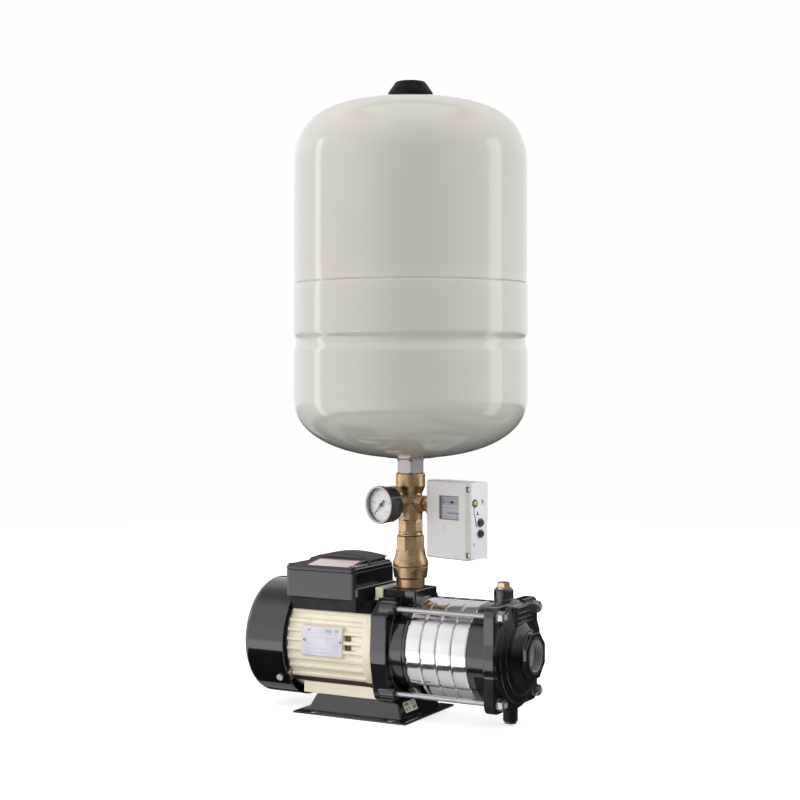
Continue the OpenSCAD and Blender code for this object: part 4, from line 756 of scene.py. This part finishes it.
# the ribs beside the label; their light grey is a painted highlight
bm = bmesh.new()
for x in (-7.6, -3.4):
    prism(bm, fillet([(x - 0.9, -50.5, 0.9), (x + 0.9, -50.5, 0.9), (x + 0.9, -12, 0.9), (x - 0.9, -12, 0.9)], 4), 0, 1.6, Matrix.Translation((0, 0, 183.5)) if x > -5 else Matrix.Translation((0, 22.2 * 0, 184.2)), 0.5, 3)
finish_bm("lid_ribs", bm, "rim_grey", "frame")

# ---------------------------------------------------------------- blank sticker on the sloping end of the base
slope = math.atan2(0.92, 0.394)
STICK = Matrix.Translation((61.55, -18.5, 13.75)) @ Matrix.Rotation(slope, 4, "Y")
bm = bmesh.new()
prism(bm, fillet([(-6.6, -15.5, 0.8), (6.6, -15.5, 0.8), (6.6, 15.5, 0.8), (-6.6, 15.5, 0.8)], 4), -0.1, 0.18, STICK, 0.05, 2)
finish_bm("base_sticker", bm, "sticker", "frame")
bm = bmesh.new()
for x0, x1, y0, y1 in ((-5.2, -1.4, -13.5, -3), (0.4, 4.6, -13.5, -8.5), (0.4, 4.6, -6, -2.5), (-5.2, -4.2, 1.5, 13), (-2.4, -1.4, 1.5, 13), (0.6, 4.6, 5, 13)):
    prism(bm, [(x0, y0), (x1, y0), (x1, y1), (x0, y1)], 0.18, 0.22, STICK)
finish_bm("base_sticker_blocks", bm, "olive_print", "frame")

# ---------------------------------------------------------------- pressure switch: pressed cover with rounded edges
SWAP = Matrix(((1, 0, 0, 0), (0, 0, 1, 0), (0, 1, 0, 0), (0, 0, 0, 1)))
X0, X1, Y0, Y1, Z1 = 44.8, 114.0, 200.8, 295.2, 18.0
cover = temp(prism(bmesh.new(), fillet([(X0, -4), (X0, Z1, 3.0), (X1, Z1, 6.0), (X1, -4)], 12), Y0, Y1, FRONT @ SWAP, 2.6, 7), "cover")
inner = temp(prism(bmesh.new(), fillet([(X0 + 1.1, -9), (X0 + 1.1, Z1 - 1.4, 2.0), (X1 - 1.4, Z1 - 1.4, 4.6), (X1 - 1.4, -9)], 9), Y0 + 1.1, Y1 - 1.1, FRONT @ SWAP, 0), "inner")
step = temp(prism(bmesh.new(), [(111.8, Y0 - 3), (120, Y0 - 3), (120, Y1 + 3), (111.8, Y1 + 3)], -14, 11.2, FRONT), "step")
under = temp(prism(bmesh.new(), [(X0 - 3, Y0 - 3), (X1 + 3, Y0 - 3), (X1 + 3, Y1 + 3), (X0 - 3, Y1 + 3)], -12, 2.0, FRONT), "under")
window = temp(prism(bmesh.new(), fillet([(67, 248.4, 1.2), (100, 248.4, 1.2), (100, 277.4, 1.2), (67, 277.4, 1.2)], 5), 10, 30, FRONT), "window")
neck = temp(lathe(bmesh.new(), [(0, -6), (10.5, -6), (10.5, 5), (0, 5)], 48, FRONT @ Matrix.Translation((X0, PORT_Z, 0)) @ Matrix.Rotation(math.radians(90), 4, "Y"), closed=False), "neck")
notches = []
for y in (286.2, 207.4):
    notches.append(temp(prism(bmesh.new(), fillet([(110.6, y - 3.4, 0.7), (X1 + 2, y - 3.4, 0.4), (X1 + 2, y + 3.4, 0.4), (110.6, y + 3.4, 0.7)], 4), 12.6, 30, FRONT), "notch"))
boolean(cover, [inner, under, step, window, neck] + notches)
me = cover.data
bm = bmesh.new()
bm.from_mesh(me)
bpy.data.objects.remove(cover)
sw = finish_bm("switch_cover_pressed", bm, "switch_grey", "frame", sharp=28)
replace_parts(sw, "switch_cover")
# the clips of the cover are pale, a painted highlight
bm = bmesh.new()
for y in (286.2, 207.4):
    prism(bm, fillet([(111.0, y - 2.6, 0.5), (113.6, y - 2.6, 0.5), (113.6, y + 2.6, 0.5), (111.0, y + 2.6, 0.5)], 4), 11.2, 14.6, FRONT, 0.5, 3)
finish_bm("cover_clips", bm, "pale_with_painted_highlight", "frame")
bm = bmesh.new()
for y in (286.2, 207.4):
    prism(bm, fillet([(110.9, y - 3.2, 0.6), (113.7, y - 3.2, 0.4), (113.7, y + 3.2, 0.4), (110.9, y + 3.2, 0.6)], 4), 9.0, 13.0, FRONT, 0.3, 2)
finish_bm("clip_seats", bm, "switch_grey", "frame")
# rim turned in round the window
bm = bmesh.new()
ring = fillet([(67.1, 248.5, 1.2), (99.9, 248.5, 1.2), (99.9, 277.3, 1.2), (67.1, 277.3, 1.2)], 5)
core = fillet([(68.0, 249.4, 0.8), (99.0, 249.4, 0.8), (99.0, 276.4, 0.8), (68.0, 276.4, 0.8)], 5)
rows = [[bm.verts.new(FRONT @ Vector((x, y, z)) * MM) for x, y in pts] for pts, z in ((ring, 16.9), (ring, 17.5), (core, 17.1), (core, 15.2), (ring, 15.0))]
for a, b in zip(rows, rows[1:] + rows[:1]):
    for k in range(len(a)):
        bm.faces.new((a[k], a[(k + 1) % len(a)], b[(k + 1) % len(a)], b[k]))
finish_bm("window_rim", bm, "grey_plastic", "frame")

# strip behind the slot of the scale, carried along by the pointer
bm = bmesh.new()
prism(bm, fillet([(63.8, 266.4, 0.8), (104.2, 266.4, 0.8), (104.2, 272.6, 0.8), (63.8, 272.6, 0.8)], 4), 12.9, 13.4, FRONT, 0.1, 2)
finish_bm("pointer_strip", bm, "plate_etch", "range_slider")

# marks of the range scale, without lettering
bm = bmesh.new()
for k in range(19):
    x = 69.5 + k * 1.6
    prism(bm, [(x, 272.0), (x + 0.45, 272.0), (x + 0.45, 272.0 + (2.6 if k % 3 == 0 else 1.5)), (x, 272.0 + (2.6 if k % 3 == 0 else 1.5))], 14.7, 14.75, FRONT)
for k in range(13):
    x = 78.5 + k * 1.55
    prism(bm, [(x, 255.2), (x + 0.7, 255.2), (x + 0.7, 255.2 + (2.6 if k % 2 == 0 else 1.8)), (x, 255.2 + (2.6 if k % 2 == 0 else 1.8))], 14.7, 14.75, FRONT)
for y in (251.6, 262.6, 266.6):
    prism(bm, [(68.4, y), (98.6, y), (98.6, y + 0.3), (68.4, y + 0.3)], 14.7, 14.75, FRONT)
finish_bm("scale_marks", bm, "ink", "frame")

# end plate: sealing screw, collars and print
END = FRONT @ Matrix(((0, 0, 1, 114), (0, 1, 0, 0), (-1, 0, 0, 0), (0, 0, 0, 1)))


def on_end(z, y):
    return END @ Matrix.Translation((-z, y, 0))


bm = bmesh.new()
lathe(bm, fillet([(3.2, 0.02), (3.4, 0.5, 0.2), (2.9, 1.5, 0.6), (1.6, 1.9, 0.6), (0.01, 1.7), (0.01, 0.02)], 5), 40, on_end(4.6, 269.2))
finish_bm("seal_screw", bm, "seal_brass", "frame")
bm = bmesh.new()
lathe(bm, fillet([(3.5, 0.02), (4.9, 0.02), (4.9, 0.32, 0.15), (4.3, 0.5, 0.3), (3.5, 0.32)], 4), 40, on_end(4.6, 269.2))
for y, r in ((245.5, 5.4), (232.3, 5.4)):
    lathe(bm, fillet([(4.35, 0.02), (r, 0.02), (r, 0.1), (4.35, 0.1)], 2), 40, on_end(-5, y))
finish_bm("end_collars", bm, "matt_plastic", "frame")
bm = bmesh.new()


def stroke(points, w, h=0.06, m=END):
    """A printed line through (z, y) points of the end plate."""
    left, right_ = [], []
    for k, (z, y) in enumerate(points):
        a = Vector((-points[max(k - 1, 0)][0], points[max(k - 1, 0)][1]))
        b = Vector((-points[min(k + 1, len(points) - 1)][0], points[min(k + 1, len(points) - 1)][1]))
        d = (b - a).normalized()
        n = Vector((-d.y, d.x)) * w / 2
        c = Vector((-z, y))
        left.append(c + n)
        right_.append(c - n)
    for k in range(len(points) - 1):
        prism(bm, [tuple(left[k]), tuple(left[k + 1]), tuple(right_[k + 1]), tuple(right_[k])], 0.0, h, m)


stroke([(5.8, 264.6), (6.3, 261), (6.2, 256), (4.2, 252.6), (3.5, 248), (2.9, 243.6), (0.2, 240.2)], 1.3)
stroke([(0.6, 259.4), (-0.6, 255.6)], 1.6)
stroke([(2.0, 255.8), (-2.2, 255.4)], 1.2)
stroke([(-7.0, 273.6), (-8.6, 270.6), (-7.6, 267.4)], 1.3)
stroke([(-8.6, 270.6), (-11.6, 271.2)], 1.3)
stroke([(-11.2, 267.0), (-12.6, 268.4)], 1.0)
finish_bm("end_print", bm, "ink", "frame")
bm = bmesh.new()
stroke([(7.6, 221.4), (5.0, 221.4)], 0.5)
stroke([(7.6, 221.4), (7.2, 218.6), (6.3, 216.8), (5.4, 218.6), (5.0, 221.4)], 0.5)
finish_bm("end_mark", bm, "grey_print", "frame")

# ---------------------------------------------------------------- threads on the tie rods and in the suction port
bm = bmesh.new()
for y in (-51.5, 51.5):
    for z in (-51.5, 51.5):
        thread(bm, 3.85, 1.25, 205.2, 207.4, Matrix.Translation((0, y, SHAFT_Z + z)) @ Matrix.Rotation(math.radians(90), 4, "Y"), 0.45, 32)
finish_bm("rod_threads", bm, "zinc_steel", "frame")
bm = bmesh.new()
IN = Matrix.Translation((0, 0, SHAFT_Z)) @ Matrix.Rotation(math.radians(90), 4, "Y")
pitch = 2.309
for k in range(5):
    x = 211.4 + k * (222.4 - 211.4) / 5
    w = (222.4 - 211.4) / 5
    lathe(bm, [(19.7, x), (18.8, x + w * 0.42), (18.8, x + w * 0.58), (19.7, x + w), (19.9, x + w), (19.9, x)], 96, IN)
finish_bm("suction_thread", bm, "machined_pale", "frame")
bm = bmesh.new()
lathe(bm, fillet([(19.0, 205.1), (19.0, 211.0, 0.3), (19.6, 211.3), (19.6, 205.1)], 3), 96, IN)
finish_bm("bore_lining", bm, "switch_white", "frame")
# two raised edges round the end of the casing
bm = bmesh.new()
for r, x in ((58.2, 203.2), (48.6, 206.2)):
    lathe(bm, fillet([(r - 1.6, x - 1.6), (r - 1.3, x + 0.9, 0.8), (r + 0.4, x + 0.7, 0.8), (r + 1.2, x - 1.6)], 4), 160, IN)
finish_bm("casing_edges", bm, "black_cast", "frame")
bm = bmesh.new()
lathe(bm, fillet([(19.6, 222.95), (22.6, 222.95), (22.6, 223.1, 0.1), (21.0, 223.1, 0.05), (19.7, 222.2), (19.5, 221.6)], 3), 96, IN)
finish_bm("port_chamfer", bm, "machined_iron", "frame")

# raised border of the blank panel over the suction port
bm = bmesh.new()
PANEL = Matrix(((0, 0, 1, 206.9), (1, 0, 0, 0), (0, 1, 0, 0), (0, 0, 0, 1)))
for x0, x1, y0, y1 in ((-23.5, 21.5, 142.4, 145.4), (-23.5, -20.7, 124.0, 145.4), (-19.5, 20.5, 136.0, 138.8), (-19.5, 20.5, 130.2, 132.6), (-23.5, 24.5, 123.6, 126.4)):
    prism(bm, fillet([(x0, y0, 0.9), (x1, y0, 0.9), (x1, y1, 0.9), (x0, y1, 0.9)], 3), -0.2, 1.9, PANEL, 1.0, 4)
finish_bm("panel_border", bm, "black_cast", "frame")

# ---------------------------------------------------------------- stage: floor, world and lights
bm = bmesh.new()
vs = [bm.verts.new((2.6 * math.cos(2 * math.pi * k / 128), 2.6 * math.sin(2 * math.pi * k / 128), 0)) for k in range(128)]
bm.faces.new(vs)
me = bpy.data.meshes.new("floor")
bm.to_mesh(me)
bm.free()
floor = bpy.data.objects.new("floor", me)
SCENE.collection.objects.link(floor)
n = Nodes("floor_paper").set(rough=0.6, spec=0.1)
n.to(n.ramp(n.noise(6, 3), [(0.3, (0.79, 0.79, 0.79)), (0.7, (0.81, 0.81, 0.81))]), "Base Color")
n.bsdf.inputs["Emission Color"].default_value = (1, 1, 1, 1)
n.bsdf.inputs["Emission Strength"].default_value = 0.62
me.materials.append(n.mat)
floor.visible_glossy = False
floor.visible_diffuse = False

n = Nodes("flag_cloth").set(rough=0.9, spec=0.1)
n.to(n.ramp(n.noise(40, 3), [(0.3, (0.02, 0.02, 0.02)), (0.7, (0.03, 0.03, 0.03))]), "Base Color")
lit = Nodes("flag_graded").set(rough=0.9, spec=0.1)
lit.to(lit.ramp(lit.noise(40, 3), [(0.3, (0.02, 0.02, 0.02)), (0.7, (0.03, 0.03, 0.03))]), "Base Color")
sep = lit.t.nodes.new("ShaderNodeSeparateXYZ")
lit.link(lit.coord, sep.inputs[0])
lit.to(lit.range(sep.outputs["Z"], 0.08, 0.17, 0.0, 0.36), "Emission Strength")
lit.bsdf.inputs["Emission Color"].default_value = (1, 1, 1, 1)
# dark flags round the pump, seen only in its gloss: one on the table, one at the suction end, one behind
TALL = Matrix(((1, 0, 0, 0), (0, 0, 1, 0), (0, 1, 0, 0), (0, 0, 0, 1)))
for name, pts, lo, hi, m in (
        ("flag_table", [(-310, -232, 40), (-55, -232, 40), (-55, -40, 30), (-310, -40, 40)], 0.2, 0.6, Matrix()),
        ("flag_end", [(-330, 2, 10), (420, 2, 10), (420, 215, 10), (-330, 215, 10)], 330, 334, Matrix(((0, 0, 1, 0), (1, 0, 0, 0), (0, 1, 0, 0), (0, 0, 0, 1)))),
        ("flag_back", [(-520, 2, 10), (330, 2, 10), (330, 300, 10), (-520, 300, 10)], 420, 424, TALL)):
    flag = temp(prism(bmesh.new(), fillet(pts, 6), lo, hi, m), name)
    flag.data.materials.append(lit.mat if name == "flag_end" else n.mat)
    flag.visible_camera = False
    flag.visible_diffuse = False
    flag.visible_shadow = False
    flag.visible_transmission = False

BACK = Vector((0.4772, -0.8788, 0))
RIGHT = Vector((0.8788, 0.4772, 0))

# a white studio. What the eye sees behind the object is plain white; soft light falls from the sides and overhead;
# gloss reflects a large softbox at the front left, the sides, a darker front and a dark table behind.
world = bpy.data.worlds.new("studio")
world.use_nodes = True
SCENE.world = world
t = world.node_tree
bg = t.nodes["Background"]
tc = t.nodes.new("ShaderNodeTexCoord").outputs["Generated"]


def wmath(op, x, y=None, clamp=False):
    n = t.nodes.new("ShaderNodeMath")
    n.operation = op
    n.use_clamp = clamp
    for i, v in enumerate((x, y)):
        if v is None:
            continue
        if isinstance(v, (int, float)):
            n.inputs[i].default_value = v
        else:
            t.links.new(v, n.inputs[i])
    return n.outputs[0]


def along(v):
    d = t.nodes.new("ShaderNodeVectorMath")
    d.operation = "DOT_PRODUCT"
    d.inputs[1].default_value = v
    t.links.new(tc, d.inputs[0])
    return d.outputs["Value"]


def smooth(v, lo, hi, a, b):
    n = t.nodes.new("ShaderNodeMapRange")
    n.interpolation_type = "SMOOTHSTEP"
    for key, x in (("From Min", lo), ("From Max", hi), ("To Min", a), ("To Max", b)):
        n.inputs[key].default_value = x
    t.links.new(v, n.inputs["Value"])
    return n.outputs[0]


def pick(fac, a, b):
    n = t.nodes.new("ShaderNodeMix")
    n.data_type = "FLOAT"
    for i, v in ((0, fac), (2, a), (3, b)):
        if isinstance(v, (int, float)):
            n.inputs[i].default_value = v
        else:
            t.links.new(v, n.inputs[i])
    return n.outputs[0]


def round_ramp(stops, scale):
    """A level that changes with the bearing: stops are (degrees right of the front, level)."""
    n = t.nodes.new("ShaderNodeValToRGB")
    n.color_ramp.interpolation = "B_SPLINE"
    e = n.color_ramp.elements
    pos = [((a + 180) / 360, v / scale) for a, v in stops]
    e[0].position, e[0].color = pos[0][0], (pos[0][1],) * 3 + (1,)
    e[1].position, e[1].color = pos[-1][0], (pos[-1][1],) * 3 + (1,)
    for x, v in pos[1:-1]:
        e.new(x).color = (v, v, v, 1)
    t.links.new(bearing, n.inputs[0])
    return wmath("MULTIPLY", n.outputs[0], scale)


front, right, up = along(BACK), along(RIGHT), along((0, 0, 1))

turn = t.nodes.new("ShaderNodeMath")
turn.operation = "ARCTAN2"
t.links.new(right, turn.inputs[0])
t.links.new(front, turn.inputs[1])
bearing = wmath("ADD", wmath("DIVIDE", turn.outputs[0], 2 * math.pi), 0.5)
diffuse = round_ramp([(-180, 1.1), (-110, 1.4), (-62, 1.8), (-35, 1.15), (-8, 0.5), (12, 0.42), (38, 0.8), (62, 1.3), (100, 1.45), (180, 1.1)], 2.0)
diffuse = pick(smooth(up, 0.35, 0.95, 0.0, 1.0), diffuse, 0.85)
diffuse = pick(smooth(up, -0.42, -0.22, 0.0, 1.0), 0.3, diffuse)
level_high = round_ramp([(-180, 1.0), (-120, 1.0), (-95, 1.1), (-60, 1.35), (-38, 1.0), (-18, 0.35), (0, 0.16), (20, 0.3), (45, 0.7), (80, 1.1), (120, 0.8), (180, 1.0)], 2.0)
level_mid = round_ramp([(-180, 0.3), (-120, 0.6), (-95, 1.3), (-75, 1.95), (-45, 1.95), (-22, 1.0), (0, 0.35), (20, 0.25), (45, 0.25), (68, 0.2), (86, 0.1), (100, 0.06), (120, 0.04), (150, 0.05), (180, 0.2)], 2.0)
level_low = round_ramp([(-180, 0.2), (-100, 0.5), (-60, 0.9), (-20, 0.7), (20, 0.62), (70, 0.8), (105, 0.1), (180, 0.1)], 2.0)
gloss = pick(smooth(up, -0.14, -0.08, 0.0, 1.0), level_mid, level_high)
below = wmath("MULTIPLY", level_low, smooth(up, -0.62, -0.59, 1.0, 0.08))
gloss = pick(smooth(up, -0.45, -0.43, 0.0, 1.0), below, gloss)
level_top = round_ramp([(-180, 0.7), (-120, 0.85), (-60, 1.2), (-32, 0.8), (-10, 0.4), (15, 0.4), (40, 0.7), (70, 0.95), (120, 0.8), (180, 0.7)], 2.0)
gloss = pick(smooth(up, 0.22, 0.45, 0.0, 1.0), gloss, level_top)
gloss = pick(smooth(up, 0.72, 0.93, 0.0, 1.0), gloss, 0.12)
path = t.nodes.new("ShaderNodeLightPath")
level = pick(path.outputs["Is Glossy Ray"], diffuse, gloss)
level = pick(path.outputs["Is Camera Ray"], level, 1.0)
tint = t.nodes.new("ShaderNodeMix")
tint.data_type = "RGBA"
t.links.new(path.outputs["Is Glossy Ray"], tint.inputs[0])
tint.inputs[6].default_value = (1.0, 0.995, 0.985, 1)
tint.inputs[7].default_value = (1.0, 0.965, 1.02, 1)
t.links.new(tint.outputs[2], bg.inputs[0])
t.links.new(level, bg.inputs[1])


def area(name, at, target, sx, sy, power, colour=(1, 1, 1)):
    d = bpy.data.lights.new(name, "AREA")
    d.shape = "RECTANGLE"
    d.size, d.size_y = sx, sy
    d.energy = power
    d.color = colour
    o = bpy.data.objects.new(name, d)
    SCENE.collection.objects.link(o)
    o.location = at
    o.rotation_euler = (Vector(target) - Vector(at)).to_track_quat("-Z", "Y").to_euler()
    return o


CENTRE = Vector((0.03, 0, 0.4))
area("left_strip", CENTRE - RIGHT * 1.7 - BACK * 0.25, CENTRE, 0.25, 1.9, 2.5)
area("right_box", CENTRE + RIGHT * 1.7 + BACK * 0.1, CENTRE, 0.5, 1.9, 4)
area("top_box", CENTRE + Vector((0, 0, 1.9)) + BACK * 0.3, CENTRE, 1.6, 1.6, 5)

# a lamp with a narrow beam that fills the motor and the switch box, seen by no gloss
for name, target, angle, power in (("motor_fill", Vector((-0.035, -0.05, 0.07)), 14, 32.0), ("switch_fill", Vector((0.118, -0.03, 0.25)), 8, 9.0), ("end_fill", Vector((0.165, -0.03, 0.245)), 7, 9.0)):
    d = bpy.data.lights.new(name, "SPOT")
    d.energy = power
    d.spot_size = math.radians(angle)
    d.spot_blend = 0.7
    d.shadow_soft_size = 0.16
    o = bpy.data.objects.new(name, d)
    SCENE.collection.objects.link(o)
    o.location = target + RIGHT * (1.2 if name == "end_fill" else -0.75) + BACK * (0.35 if name == "end_fill" else 1.15) + Vector((0, 0, {"end_fill": 0.02, "motor_fill": 0.5}.get(name, 0.06)))
    o.rotation_euler = (target - o.location).to_track_quat("-Z", "Y").to_euler()
    o.visible_glossy = False
